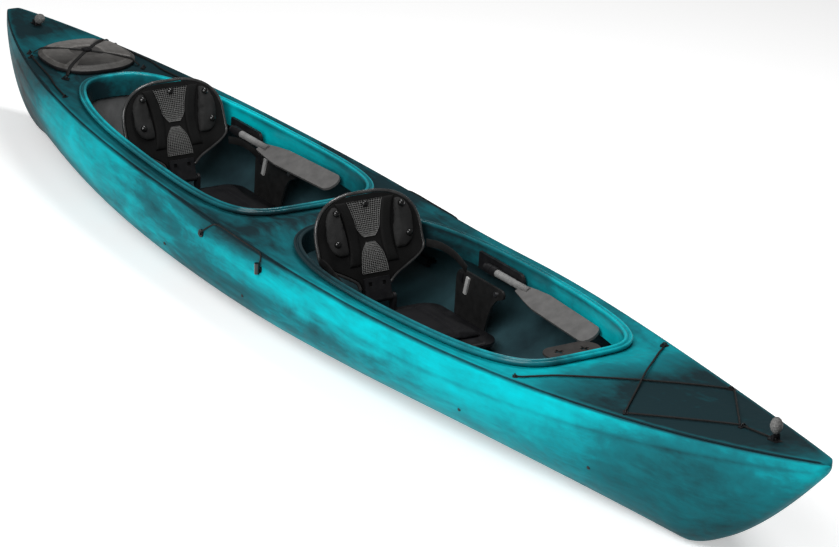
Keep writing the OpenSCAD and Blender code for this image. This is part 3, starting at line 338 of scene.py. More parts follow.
def band_mesh(line, side, width):
    """A flat band along a line, given as a tube is; side is the direction of its width."""
    step = unit(np.gradient(line, axis=0))
    side = unit(side - step * np.sum(side * step, 1)[:, None])
    up = np.cross(step, side)
    ring = np.stack([line + side * (u * width / 2) + up * (v * BAND_T) for u, v in BAND], 1)
    run = np.repeat(lengths(line), len(BAND))
    return *capped(ring, True), run, np.zeros_like(run)


def joined(parts):
    """Points and faces of several meshes as one."""
    faces = []
    count = 0
    for part in parts:
        faces += [tuple(v + count for v in face) for face in part[1]]
        count += len(part[0])
    return np.vstack([part[0] for part in parts]), faces


def ribbed_piece(name, parts, material):
    """One piece from several tubes or bands, with the run along and the turn round each for its material."""
    piece = mesh_piece(name, *joined(parts), material)
    set_attribute(piece, "along", np.concatenate([part[2] for part in parts]))
    set_attribute(piece, "around", np.concatenate([part[3] for part in parts]))
    return face_out(piece)


def tubes(name, lines, radius, material, sides=12):
    return ribbed_piece(name, [tube_mesh(line, radius, sides) for line in lines], material)


def slab_mesh(front, back):
    """Points and faces of a closed sheet between two grids of the same size."""
    rows, cols = front.shape[:2]
    n = rows * cols
    points = np.vstack([front.reshape(-1, 3), back.reshape(-1, 3)])
    faces = grid_faces(rows, cols)
    faces += [tuple(reversed(f)) for f in grid_faces(rows, cols, n)]
    rim = [i for i in range(cols)]
    rim += [i * cols + cols - 1 for i in range(1, rows)]
    rim += [n - 1 - i for i in range(1, cols)]
    rim += [i * cols for i in range(rows - 2, 0, -1)]
    for a, b in zip(rim, rim[1:] + rim[:1]):
        faces.append((a, b, b + n, a + n))
    return points, faces


def slabs(name, pairs, material):
    return face_out(mesh_piece(name, *joined([slab_mesh(*pair) for pair in pairs]), material))


def modifier(piece, kind, **values):
    added = piece.modifiers.new(kind.title(), kind)
    for key, value in values.items():
        setattr(added, key, value)
    return added


def soften(piece, width, segments=2, angle=40):
    """Rounds the sharp edges of a piece and keeps its flat faces flat."""
    modifier(piece, "BEVEL", width=width, segments=segments, limit_method="ANGLE",
             angle_limit=math.radians(angle), use_clamp_overlap=True)
    modifier(piece, "WEIGHTED_NORMAL", keep_sharp=False)


def apply_all(piece):
    """Bakes a piece's modifiers into its mesh."""
    graph = bpy.context.evaluated_depsgraph_get()
    mesh = bpy.data.meshes.new_from_object(piece.evaluated_get(graph))
    piece.modifiers.clear()
    piece.data = mesh


def install(piece, body, slot, *nodes):
    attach(piece, body)
    if nodes:
        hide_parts(*nodes)
    return piece


# Materials
# Strength of the reflections on matt mouldings, on fabric and on webbing, and on polished pieces
SHINE = 0.18
CLOTH_SHINE = 0.12
WEB_SHINE = 0.15
POLISHED = {"Specular_IOR_Level": 0.5}


def start_material(name):
    material = bpy.data.materials.new(name)
    material.use_nodes = True
    tree = material.node_tree
    return material, tree, tree.nodes["Principled BSDF"]


def add(tree, kind, sockets=None, **values):
    """A new node; a socket is linked to another node's output, or set to a plain value."""
    made = tree.nodes.new(kind)
    for key, value in values.items():
        setattr(made, key, value)
    for key, value in (sockets or {}).items():
        if isinstance(value, bpy.types.NodeSocket):
            tree.links.new(value, made.inputs[key])
        else:
            made.inputs[key].default_value = value
    return made


def math_node(tree, operation, a, b):
    return add(tree, "ShaderNodeMath", {0: a, 1: b}, operation=operation).outputs[0]


def about_half(tree, value, strength):
    return math_node(tree, "MULTIPLY", math_node(tree, "SUBTRACT", value, 0.5), strength)


def reading(tree, name):
    return add(tree, "ShaderNodeAttribute", attribute_name=name).outputs["Fac"]


def coat(tree, shader, colour, roughness, shine):
    tree.links.new(colour, shader.inputs["Base Color"])
    tree.links.new(roughness, shader.inputs["Roughness"])
    shader.inputs["Specular IOR Level"].default_value = shine


def noise(tree, place, scale, detail=4.0, roughness=0.55, distortion=0.0):
    return add(tree, "ShaderNodeTexNoise", {"Vector": place, "Scale": scale, "Detail": detail,
                                            "Roughness": roughness, "Distortion": distortion}).outputs["Fac"]


def ramp(tree, value, stops):
    made = add(tree, "ShaderNodeValToRGB", {"Fac": value})
    elements = made.color_ramp.elements
    while len(elements) < len(stops):
        elements.new(0.5)
    for element, (position, colour) in zip(elements, stops):
        element.position = position
        element.color = (*colour, 1)
    return made.outputs["Color"]


def spread(tree, value, low, high):
    return add(tree, "ShaderNodeMapRange", {"Value": value, "From Min": 0.3, "From Max": 0.7, "To Min": low,
                                            "To Max": high}).outputs["Result"]


def bump(tree, shader, height, strength, distance):
    made = add(tree, "ShaderNodeBump", {"Strength": strength, "Distance": distance, "Height": height})
    tree.links.new(made.outputs["Normal"], shader.inputs["Normal"])


def places(tree, stretch=(1, 1, 1)):
    where = add(tree, "ShaderNodeTexCoord").outputs["Object"]
    return add(tree, "ShaderNodeMapping", {"Vector": where, "Scale": stretch}).outputs["Vector"]


def marbled(name, dark, mid, bright, gloss, shine):
    """Rotomoulded plastic: a piece's tone sets how bright it is, its swirl how strong the streaks are."""
    material, tree, shader = start_material(name)
    cloud = noise(tree, places(tree, (1.0, 2.2, 3.2)), 2.6, 5.0, 0.6, 0.9)
    streak = noise(tree, places(tree, (2.0, 9.0, 12.0)), 3.4, 4.0, 0.6, 0.5)
    speck = noise(tree, places(tree), 26.0, 3.0, 0.6)
    streaks = math_node(tree, "ADD", about_half(tree, cloud, 1.15), about_half(tree, streak, 0.5))
    streaks = math_node(tree, "MULTIPLY", streaks, reading(tree, "swirl"))
    total = math_node(tree, "ADD", reading(tree, "tone"), streaks)
    total = math_node(tree, "ADD", total, about_half(tree, speck, 0.16))
    coat(tree, shader, ramp(tree, total, [(0.08, dark), (0.42, mid), (0.82, bright)]),
         spread(tree, speck, gloss, gloss + 0.12), shine)
    bump(tree, shader, noise(tree, places(tree), 420.0, 2.0), 0.10, 0.0006)
    return material


def grained(name, dark, light, scale, rough, grain, depth, **sockets):
    """A moulded or soft material: two near colours in clouds, a grain in relief, uneven roughness."""
    material, tree, shader = start_material(name)
    cloud = noise(tree, places(tree), scale, 5.0, 0.6)
    coat(tree, shader, ramp(tree, cloud, [(0.3, dark), (0.7, light)]),
         spread(tree, cloud, rough - 0.06, rough + 0.08), SHINE)
    bump(tree, shader, noise(tree, places(tree), grain, 3.0, 0.6), depth, 0.0008)
    for key, value in sockets.items():
        shader.inputs[key.replace("_", " ")].default_value = value
    return material


def shaded(name, dark, light, *grain):
    """A grained material made lighter or darker by a piece's shade, which is painted light and shade."""
    material = grained(name, dark, light, *grain)
    tree = material.node_tree
    shader = tree.nodes["Principled BSDF"]
    colour = shader.inputs["Base Color"].links[0].from_socket
    shade = math_node(tree, "ADD", reading(tree, "shade"), 1.0)
    scale = add(tree, "ShaderNodeVectorMath", {0: colour, "Scale": shade}, operation="SCALE")
    tree.links.new(scale.outputs["Vector"], shader.inputs["Base Color"])
    return material


def woven(name, dark, light, yarn, depth):
    """Fabric with a plain weave in relief, its yarns this far apart."""
    material, tree, shader = start_material(name)
    frequency = 2 * math.pi / (20 * yarn)
    where = places(tree)
    heights = []
    for direction in ("Y", "Z"):
        wave = add(tree, "ShaderNodeTexWave", {"Vector": where, "Scale": frequency, "Distortion": 0.4,
                                               "Detail": 1.0}, bands_direction=direction)
        heights.append(wave.outputs["Fac"])
    weave = math_node(tree, "MULTIPLY", heights[0], heights[1])
    cloud = noise(tree, where, 14.0, 5.0, 0.6)
    shade = math_node(tree, "ADD", math_node(tree, "MULTIPLY", weave, 0.35), cloud)
    coat(tree, shader, ramp(tree, shade, [(0.35, dark), (0.95, light)]),
         spread(tree, cloud, 0.66, 0.82), CLOTH_SHINE)
    bump(tree, shader, weave, depth, 0.0006)
    return material


def ribbed(name, dark, light, pitch, turns, rough, depth):
    """Webbing or braid: ribs along a piece at this pitch, slanting by its turns round a cord."""
    material, tree, shader = start_material(name)
    run = math_node(tree, "MULTIPLY", reading(tree, "along"), 2 * math.pi / pitch)
    slant = math_node(tree, "MULTIPLY", reading(tree, "around"), 2 * math.pi * turns)
    one = math_node(tree, "SINE", math_node(tree, "ADD", run, slant), 0.0)
    two = math_node(tree, "SINE", math_node(tree, "SUBTRACT", run, slant), 0.0)
    height = math_node(tree, "MAXIMUM", one, two)
    cloud = noise(tree, places(tree), 30.0)
    shade = math_node(tree, "ADD", math_node(tree, "MULTIPLY", height, 0.25), cloud)
    coat(tree, shader, ramp(tree, shade, [(0.3, dark), (0.9, light)]),
         spread(tree, cloud, rough, rough + 0.15), WEB_SHINE)
    bump(tree, shader, height, depth, 0.0005)
    return material


def even(value):
    return (value, value, value)


DARK = (0.009, 0.024, 0.029)
MID = (0.007, 0.150, 0.178)
BRIGHT = (0.000, 0.520, 0.585)
skin = marbled("marbled_polyethylene", DARK, MID, BRIGHT, 0.42, 0.03)
rim_skin = marbled("glossy_polyethylene", DARK, MID, BRIGHT, 0.15, 0.30)
lining = grained("hull_inside", (0.016, 0.034, 0.042), (0.036, 0.090, 0.105), 5.0, 0.42, 300.0, 0.15)
black = grained("moulded_black", (0.006, 0.006, 0.007), (0.013, 0.013, 0.014), 40.0, 0.40, 900.0, 0.18)
gloss_black = grained("polished_black", even(0.004), even(0.008), 60.0, 0.14, 700.0, 0.04, **POLISHED)
grey = grained("moulded_grey", (0.086, 0.084, 0.083), (0.120, 0.117, 0.115), 30.0, 0.44, 800.0, 0.15)
pale = grained("moulded_pale_grey", even(0.32), (0.44, 0.44, 0.43), 30.0, 0.36, 800.0, 0.10)
rail_grey = grained("rail_grey", even(0.16), (0.24, 0.24, 0.235), 30.0, 0.34, 800.0, 0.10)
panel_black = grained("panel_black", even(0.010), even(0.020), 35.0, 0.34, 700.0, 0.15)
hatch_grey = shaded("hatch_grey", (0.045, 0.043, 0.041), (0.072, 0.069, 0.066), 45.0, 0.40, 500.0, 0.20)
tray_grey = grained("tray_grey", (0.024, 0.022, 0.021), (0.040, 0.037, 0.035), 40.0, 0.42, 700.0, 0.18)
grip = grained("speckled_grip", even(0.04), (0.21, 0.21, 0.205), 420.0, 0.46, 700.0, 0.25)
shell_cloth = woven("back_fabric", even(0.003), even(0.009), 0.0018, 0.35)
padding = woven("pad_fabric", even(0.012), even(0.030), 0.0022, 0.45)
cushion_cloth = woven("cushion_fabric", (0.004, 0.004, 0.005), (0.012, 0.012, 0.013), 0.0022, 0.45)
net_yarn = grained("net_yarn", (0.13, 0.13, 0.127), (0.23, 0.23, 0.225), 200.0, 0.60, 900.0, 0.15)
piping = grained("glossy_piping", even(0.020), even(0.044), 25.0, 0.20, 500.0, 0.06, **POLISHED)
webbing = ribbed("ribbed_webbing", even(0.006), even(0.020), 0.0030, 0, 0.62, 0.5)
braid = ribbed("braided_cord", even(0.004), even(0.016), 0.0060, 4, 0.50, 0.5)
rubber = grained("seal_rubber", even(0.008), even(0.014), 60.0, 0.62, 600.0, 0.12)
steel = grained("brushed_steel", (0.50, 0.50, 0.52), (0.66, 0.66, 0.68), 90.0, 0.30, 900.0, 0.08,
                Metallic=1.0, **POLISHED)
foam = grained("closed_cell_foam", even(0.13), even(0.20), 25.0, 0.80, 380.0, 0.55)


# Hull: how bright the marbling is in four bands down the side, each with darker patches given by their place,
# reach and strength, and how bright it is along the deck
UPPER_BAND = (0.72, [(-2.32, 0.22, 0.40), (-1.77, 0.26, 0.62), (-0.22, 0.48, 0.54), (2.08, 0.36, 0.28)])
CREASE_BAND = (0.68, [(-2.30, 0.25, 0.38), (-1.85, 0.20, 0.55), (-1.25, 0.30, -0.12), (-0.60, 0.24, 0.30),
                      (-0.10, 0.30, -0.18), (0.60, 0.25, 0.05), (1.80, 0.28, 0.30), (2.15, 0.20, 0.22)])
SIDE_BAND = (0.60, [(-1.98, 0.30, 0.44), (-1.30, 0.32, -0.20), (-0.40, 0.40, 0.18), (0.20, 0.45, 0.26),
                    (1.90, 0.36, 0.34)])
LOWER_BAND = (0.54, [(-1.95, 0.38, 0.40), (-0.40, 0.40, 0.20), (1.90, 0.40, 0.28)])
# How far below the crease the side band and the lower band are reached
BAND_STEPS = (0.06, 0.14)
OPEN_TONE = [(-2.36, 0.08), (-2.10, 0.05), (-1.98, 0.28), (-1.92, 0.20), (-1.80, 0.05), (-1.66, 0.07),
             (-1.50, 0.12), (-0.30, 0.10), (-0.10, 0.10), (1.22, 0.56), (1.34, 0.46), (1.45, 0.26),
             (1.55, 0.07), (1.70, 0.04), (2.05, 0.04), (2.25, 0.12), (2.36, 0.34)]
BESIDE_TONE = [(-1.60, 0.10), (-1.45, 0.20), (-1.20, 0.42), (-0.90, 0.26), (-0.30, 0.12), (-0.05, 0.28),
               (0.40, 0.46), (1.00, 0.56), (1.25, 0.60)]
SWIRL = [(-2.36, 0.50), (-1.40, 0.60), (-0.60, 0.75), (0.30, 0.70), (0.90, 0.55), (1.40, 0.40), (2.36, 0.35)]
DECK_SWIRL = [(-2.36, 0.35), (-1.60, 0.40), (-0.60, 0.60), (0.60, 0.55), (1.30, 0.35), (2.36, 0.18)]


def along_boat(table, x):
    return np.interp(x, [row[0] for row in table], [row[1] for row in table])


def banded(band, x):
    tone, patches = band
    for place, reach, strength in patches:
        tone = tone - strength * bell(x, place, reach)
    return tone


def side_tone(x, z):
    """Tone of the hull's side, blended from the deck edge over the crease down to the keel."""
    down = beam_z(x) - z
    upper = np.clip(-down / np.maximum(edge_z(x) - 0.02 - beam_z(x), 0.005), 0, 1)
    tone = lerp(banded(CREASE_BAND, x), banded(UPPER_BAND, x), upper)
    tone = lerp(tone, banded(SIDE_BAND, x), smooth(down / BAND_STEPS[0]))
    lower = (down - BAND_STEPS[0]) / (BAND_STEPS[1] - BAND_STEPS[0])
    return lerp(tone, banded(LOWER_BAND, x), smooth(lower))


STATIONS = 190


def stations():
    """Places along the boat, closer near the noses and near both ends of every opening."""
    t = np.linspace(-1, 1, STATIONS)
    xs = [END * (0.6 * t + 0.4 * np.sin(t * math.pi / 2))]
    tip = END - NOSE_ROUND * (1 - np.sin(np.linspace(0, math.pi / 2, 9)))
    xs += [tip, -tip]
    for o in (FRONT, REAR, HATCH):
        turn = (1 - np.cos(np.linspace(0, math.pi, 61))) / 2
        xs.append(lerp(o[0], o[1], turn))
    xs = np.unique(np.round(np.concatenate(xs), 6))
    keep = [xs[0]]
    ends = [round(v, 6) for o in (FRONT, REAR, HATCH) for v in o[:2]]
    for x in xs[1:]:
        if x - keep[-1] > 0.0006 or x in ends or x == xs[-1]:
            keep.append(x)
    return np.array(keep)


def drawn_in(y, off):
    return np.maximum(y - off, 0.3 * y)


def half_section(x, off):
    """Breadths and heights of one side, from the deck edge down to the keel, for a column of places."""
    top = edge_z(x) - DECK_WALL - SEAM
    share = np.linspace(0.02, 1, 9)
    y = lerp(edge_y(x), beam_y(x), share**0.7)
    z = lerp(top, beam_z(x), share)
    if off:
        y = drawn_in(y, off)
    else:
        # The edge turns in under the deck, so that a dark groove runs along the boat
        groove = np.array([0.0042, 0.0030, 0.0010])
        y = np.hstack([edge_y(x) - np.minimum(groove, 0.3 * edge_y(x)), y])
        z = np.hstack([top + np.array([0.0004, 0.0002, -0.0006]), z])
    s = np.radians(np.linspace(90, 0, 25)[1:])
    n = bilge(x)
    low_y = keel_y(x) + (beam_y(x) - keel_y(x)) * np.sin(s) ** (2 / n)
    low_z = keel_z(x) + (beam_z(x) - keel_z(x)) * (1 - np.cos(s) ** (2 / n))
    if off:
        low_y = drawn_in(low_y, off * np.sin(s))
        low_z = np.minimum(low_z + off * np.cos(s), beam_z(x) - 0.0005)
    return np.hstack([y, low_y]), np.hstack([z, low_z])


def hull_skin(xs, off):
    x = xs[:, None]
    y, z = half_section(x, off)
    y = np.hstack([-y, y[:, ::-1]])
    z = np.hstack([z, z[:, ::-1]])
    return np.stack([np.broadcast_to(x, y.shape), y, z], -1)


def make_hull():
    xs = stations()
    outer = round_nose(hull_skin(xs, 0))
    inner = hull_skin(xs * CORE, WALL)
    rows, cols = outer.shape[:2]
    icols = inner.shape[1]
    n = rows * cols
    outside = capped(outer)
    points, faces = joined([outside, capped(inner)])
    for i in range(rows - 1):
        for a, b in ((0, 0), (cols - 1, icols - 1)):
            faces.append((i * cols + a, (i + 1) * cols + a, n + (i + 1) * icols + b, n + i * icols + b))
    for i in (0, rows - 1):
        faces.append((i * cols, i * cols + cols - 1, n + i * icols + icols - 1, n + i * icols))
    hull = mesh_piece("hull_shell", points, faces, skin, lining)
    index = np.ones(len(hull.data.polygons), int)
    index[:len(outside[1])] = 0
    hull.data.polygons.foreach_set("material_index", index)
    x, z = points[:, 0], points[:, 2]
    tone = side_tone(x, z)
    # Painted shade in the groove under the deck edge, and a thin darker line along the shoulder's crease
    crease = bell(z, edge_z(x) - 0.005, 0.004)
    set_attribute(hull, "tone", tone - 0.45 * crease - 0.10 * bell(z, beam_z(x), 0.006))
    set_attribute(hull, "swirl", along_boat(SWIRL, x))
    face_out(hull)
    install(hull, "boat", "hull_plastic", "hull")


def deck_depth(x, z):
    """How far the deck's underside lies below its top: less along the lip and at the rounded noses."""
    rim = np.maximum(0.0004, z - (edge_z(x) - DECK_WALL))
    return np.minimum(0.9 * DECK_WALL, rim) * nose_share(x)


# How much darker the port deck is beside the cockpits
PORT_SHADE = 0.13


def make_deck():
    xs = stations()
    x = xs[:, None]
    e = edge_y(x)
    gap = open_y(x)
    lip = np.array([0.0044, 0.0016, 0.0003, 0.0007])
    lip_drop = np.array([0.0040, 0.0036, 0.0022, 0.0008])
    inward = e - np.minimum(lip, 0.3 * e)
    share = np.linspace(0, 1, 22) ** 1.3
    y = lerp(e - np.minimum(0.0026, 0.3 * e), gap, share)
    z = deck_z(x, y)
    y = np.hstack([inward, y])
    z = np.hstack([edge_z(x) - lip_drop, z])
    half = np.stack([np.broadcast_to(x, y.shape), y, z], -1)
    half = round_nose(half)
    below = half - np.array([0, 0, 1.0]) * deck_depth(x, z)[..., None]
    rows, cols = y.shape
    n = rows * cols
    faces = grid_faces(rows, cols) + grid_faces(rows, cols, n)
    for i in range(rows - 1):
        for j in (0, cols - 1):
            if j == 0 or gap[i, 0] + gap[i + 1, 0] > 0:
                a, b = i * cols + j, (i + 1) * cols + j
                faces.append((a, b, b + n, a + n))
    for i in (0, rows - 1):
        for j in range(cols - 1):
            a = i * cols + j
            faces.append((a, a + 1, a + 1 + n, a + n))
    port_half = np.vstack([half.reshape(-1, 3), below.reshape(-1, 3)])
    points, faces = joined([(port_half * (1, side, 1), faces) for side in (1, -1)])
    deck = mesh_piece("deck_shell", points, faces, skin)
    px, py = points[:, 0], np.abs(points[:, 1])
    w = near_cockpit(px)
    tone = lerp(along_boat(OPEN_TONE, px), along_boat(BESIDE_TONE, px), w)
    rim = smooth((py - edge_y(px) + 0.022) / 0.020)
    tone = lerp(tone, 0.75 * banded(UPPER_BAND, px), 0.55 * rim)
    # Painted shade along the deck's outer edge, over the groove at the seam with the hull
    crease = smooth((py - edge_y(px) + 0.004) / 0.004)
    port = PORT_SHADE * w * smooth(points[:, 1] / 0.06)
    set_attribute(deck, "tone", tone - 0.4 * crease - port)
    set_attribute(deck, "swirl", along_boat(DECK_SWIRL, px))
    face_out(deck, 2e-6)
    install(deck, "boat", "deck_plastic", "deck")


def outline(o, count):
    """The edge of an opening as evenly spaced points, with the direction out of it at each."""
    a = np.linspace(0, 2 * math.pi, 6000, endpoint=False)
    c, s = np.cos(a), np.sin(a)
    n = np.where(c < 0, o[2], o[3])
    x = (o[0] + o[1]) / 2 + (o[1] - o[0]) / 2 * squared(c, n)
    line = np.stack([x, half_width(o, x) * squared(s, n)], 1)
    closed = np.vstack([line, line[:1]])
    run = lengths(closed)
    at = np.linspace(0, run[-1], count, endpoint=False)
    line = np.stack([np.interp(at, run, closed[:, k]) for k in (0, 1)], 1)
    d = unit(np.roll(line, -1, 0) - np.roll(line, 1, 0))
    return line, np.stack([d[:, 1], -d[:, 0]], 1)


def rim_piece(name, o, profile, count, *materials):
    """A profile carried round the edge of an opening, standing on the deck."""
    line, out = outline(o, count)
    base = deck_z(line[:, 0], line[:, 1])
    q = np.asarray(profile, float) * MM
    flat = line[:, None] + out[:, None] * q[None, :, :1]
    z = base[:, None] + q[None, :, 1]
    points = np.dstack([flat, z])
    rows, cols = points.shape[:2]
    points = np.concatenate([points, points[:1]])
    faces = grid_faces(rows + 1, cols, 0, True)
    piece = mesh_piece(name, points.reshape(-1, 3), faces, *materials)
    return face_out(piece, 1e-6)


# Section of a coaming in millimetres, out from the edge of its opening and up from the deck
COAMING = [(-8, -60), (-8, -56), (-8, 6), (-8, 15), (-7, 20), (-2, 23), (3, 21), (5.5, 14), (9.5, 14),
           (13, 20.5), (18, 19.5), (20, 12), (16, 5), (8, 4.6), (-0.4, 4.5), (-0.4, -56), (-0.4, -60)]
COAMING_TONE = {"front": [(-0.10, 0.10), (0.20, 0.22), (0.60, 0.46), (1.00, 0.62), (1.24, 0.56)],
                "rear": [(-1.62, 0.36), (-1.52, 0.52), (-1.40, 0.72), (-1.10, 0.70), (-0.80, 0.52),
                         (-0.25, 0.34)]}
# How much darker the starboard side is, and how much painted shade lies in the groove between the lips
STARBOARD_SHADE = 0.17
GROOVE_SHADE = 0.12
# How much brighter the lips are, a painted highlight, and how much brighter the wall inside is
LIP_HIGHLIGHT = {"front": 0.04, "rear": 0.12}
WALL_TONE = {"front": [(-0.10, -0.08), (0.40, -0.06), (0.80, 0.10), (1.24, 0.18)],
             "rear": [(-1.62, -0.30), (-1.36, -0.22), (-1.10, 0.14), (-0.75, 0.16), (-0.45, 0.0),
                      (-0.25, -0.16)]}


def make_coamings():
    profile = chaikin(COAMING, 2)
    for name, o in (("front", FRONT), ("rear", REAR)):
        piece = rim_piece(f"{name}_cockpit_coaming", o, profile, 300, rim_skin)
        p = points_of(piece.data)
        high = p[:, 2] - deck_z(p[:, 0], p[:, 1])
        tone = along_boat(COAMING_TONE[name], p[:, 0])
        # A painted highlight along the tops of both lips
        lips = LIP_HIGHLIGHT[name] * smooth((high - 0.018) / 0.003)
        # Painted shade in the groove between the lips, taken off again on the wall inside
        groove = GROOVE_SHADE * smooth((0.016 - high) / 0.004)
        wall = (along_boat(WALL_TONE[name], p[:, 0]) + GROOVE_SHADE) * smooth((0.010 - high) / 0.012)
        starboard = STARBOARD_SHADE * smooth(-p[:, 1] / 0.10)
        set_attribute(piece, "tone", tone + lips - groove + wall - starboard)
        set_attribute(piece, "swirl", np.full(len(p), 0.5))
        install(piece, "boat", "hull_plastic", f"{name}_coaming")


# Stern hatch
# Section of its rim in millimetres
HATCH_RIM = [(-5, -24), (-5, -20), (-5, 8), (-4.6, 11), (-0.8, 11), (-0.4, 8), (1.5, 4.6), (11, 4.2),
             (13, 3.6), (13, 1.4), (-0.4, 1.4), (-0.4, -24)]
# Cover: height, crown, how far its edge rounds off, and the height of its raised panels
COVER_H = 0.020
COVER_CROWN = 0.007
COVER_ROUND = 0.003
PANEL_H = 0.005
# Its skirt and its underside, as shares of the way out from the middle and heights over the deck
COVER_ROOF = 0.0158
COVER_SKIRT = [(1.0, 0.012), (0.999, 0.0055), (0.996, 0.005), (0.978, 0.005), (0.975, 0.0056),
               (0.975, COVER_ROOF), (0.6, COVER_ROOF), (0.02, COVER_ROOF)]
# Straps: width, lift over the cover, then shares of the way out: where they leave it, drop and end
HATCH_STRAP_W = 0.012
STRAP_LIFT = 0.0012
STRAP_LEAVES = 0.97
STRAP_DROP = 0.15
STRAP_REACH = 1.12
STRAP_FOOT = 0.005


def cover_xy(a, r):
    return HATCH_X + r * COVER_L * squared(np.cos(a), 3), r * COVER_W * squared(np.sin(a), 3)


def cover_top(r):
    return COVER_H + COVER_CROWN * (1 - r**2) - COVER_ROUND * smooth((r - 0.955) / 0.045)


def cover_panel(a, r):
    return (smooth((np.abs(np.sin(2 * a - math.pi / 2)) - 0.30) / 0.12) * smooth((0.92 - r) / 0.035)
            * smooth((r - 0.32) / 0.08))


def make_hatch():
    rim = rim_piece("hatch_seat_rim", HATCH, chaikin(HATCH_RIM, 1), 160, black)
    install(rim, "boat", "black_plastic", "hatch_rim")
    a = np.linspace(0, 2 * math.pi, 240, endpoint=False)
    rows = []
    rings = np.concatenate([np.linspace(0.02, 0.28, 6), np.linspace(0.31, 0.93, 40), np.linspace(0.94, 1, 8)])
    for r in rings:
        x, y = cover_xy(a, r)
        rows.append((x, y, deck_z(x, y) + cover_top(r) + PANEL_H * cover_panel(a, r)))
    top_rows = len(rows)
    for r, h in COVER_SKIRT:
        x, y = cover_xy(a, r)
        rows.append((x, y, deck_z(x, y) + h))
    count = len(a)
    points, faces = capped(np.array(rows).transpose(0, 2, 1), True)
    cover = mesh_piece("hatch_lid", points, faces, hatch_grey, black)
    shade = np.zeros((len(rows), count))
    for i, r in enumerate(rings):
        high = cover_panel(a, r)
        x, y = cover_xy(a, r)
        # Painted light and shade on the raised panels, darker fore and to starboard and lighter aft and to
        # port, and a painted highlight along their edges
        painted_light_and_shade = 0.6 - 1.3 * (x - HATCH_X) / COVER_L + 0.7 * y / COVER_W
        shade[i] = high * painted_light_and_shade + 0.8 * bell(high, 0.6, 0.25)
    set_attribute(cover, "shade", shade)
    index = np.zeros(len(faces), int)
    index[(top_rows - 1) * count:] = 1
    cover.data.polygons.foreach_set("material_index", index)
    face_out(cover)
    install(cover, "hatch", "grey_plastic", "hatch_cover")
    make_hatch_straps()


def strap_height(r):
    low = cover_top(STRAP_LEAVES) + STRAP_LIFT
    return np.where(r < STRAP_LEAVES, cover_top(np.minimum(r, STRAP_LEAVES)) + STRAP_LIFT,
                    lerp(low, STRAP_FOOT, np.clip((r - STRAP_LEAVES) / STRAP_DROP, 0, 1)))


def make_hatch_straps():
    bands = []
    for a in (math.pi / 4, -math.pi / 4):
        px, py = cover_xy(a, 1.0)
        r = np.linspace(-STRAP_REACH, STRAP_REACH, 90)
        x = HATCH_X + r * (px - HATCH_X)
        y = r * py
        line = np.stack([x, y, deck_z(x, y) + strap_height(np.abs(r))], 1)
        bands.append(band_mesh(line, np.array([-py, px - HATCH_X, 0.0]), HATCH_STRAP_W))
    straps = ribbed_piece("hatch_webbing", bands, webbing)
    install(straps, "hatch", "webbing", "hatch_straps")


# Deck rigging
BUNGEE_R = 0.003
CORD_UP = 0.005
EYES_X = (1.275, 1.695)
EYE_TIP = 1.985
EYE_INSET = 0.024
EYE_TURN = math.radians(75)
EYE_RISE = 0.0025
EYE_R = 0.0065
EYE_WIRE = 0.0020
EYE_HALF = (0.013, 0.006)
EYE_SINK = 0.001
EYE_EDGE = 0.0012
# Bungee: how far past an eye its runs start, how high one run passes over the other, and its fore end
PAST_EYE = 0.014
CROSSING = 0.007
BUNGEE_END = 2.103
# Stern cords: place and distance from the deck edge at both ends
LINE_ENDS = ((-1.880, 0.022), (-1.510, 0.036))
# Paddle keepers: radius, then place along the boat, share of the way down the shoulder, lift
KEEPER_R = 0.0025
KEEPER = [(-0.323, 0.68, 0.0105), (-0.290, 0.34, 0.0045), (-0.253, 0.08, 0.0035), (-0.208, 0.02, 0.0035),
          (-0.140, 0.02, 0.0035), (-0.070, 0.02, 0.0035), (0.000, 0.02, 0.0035), (0.028, 0.06, 0.0035),
          (0.038, 0.22, 0.0055), (0.040, 0.34, 0.0085)]


def over_deck(a, b, steps, hump=0.0):
    t = np.linspace(0, 1, steps)
    x = lerp(a[0], b[0], t)
    y = lerp(a[1], b[1], t)
    return np.stack([x, y, deck_z(x, y) + CORD_UP + hump * bell(t, 0.5, 0.16)], 1)


def eye_at(x, side):
    return np.array([x, side * (float(edge_y(x)) - EYE_INSET)])


def make_eyes(name, places_and_turns):
    """Pad-eyes: a plate on the deck with an arched bar over it."""
    arches, plates = [], []
    for (x, y), turn in places_and_turns:
        base = float(deck_z(x, y))
        across = np.array([math.cos(turn), math.sin(turn), 0.0])
        along = np.array([-math.sin(turn), math.cos(turn), 0.0])
        place = np.array([x, y, base])
        a = np.linspace(0, math.pi, 25)[:, None]
        up = np.array([0, 0, 1.0])
        arches.append(place + EYE_RISE * up + EYE_R * (np.cos(a) * across + np.sin(a) * up))
        u, v = np.meshgrid((-1, 1), (-1, 1), indexing="ij")
        flat = place + EYE_HALF[0] * u[..., None] * across + EYE_HALF[1] * v[..., None] * along
        plates.append((flat + EYE_RISE * up, flat - EYE_SINK * up))
    install(tubes(f"{name}_bars", arches, EYE_WIRE, black), "boat", "black_plastic")
    plate = slabs(f"{name}_plates", plates, black)
    soften(plate, EYE_EDGE)
    install(plate, "boat", "black_plastic")


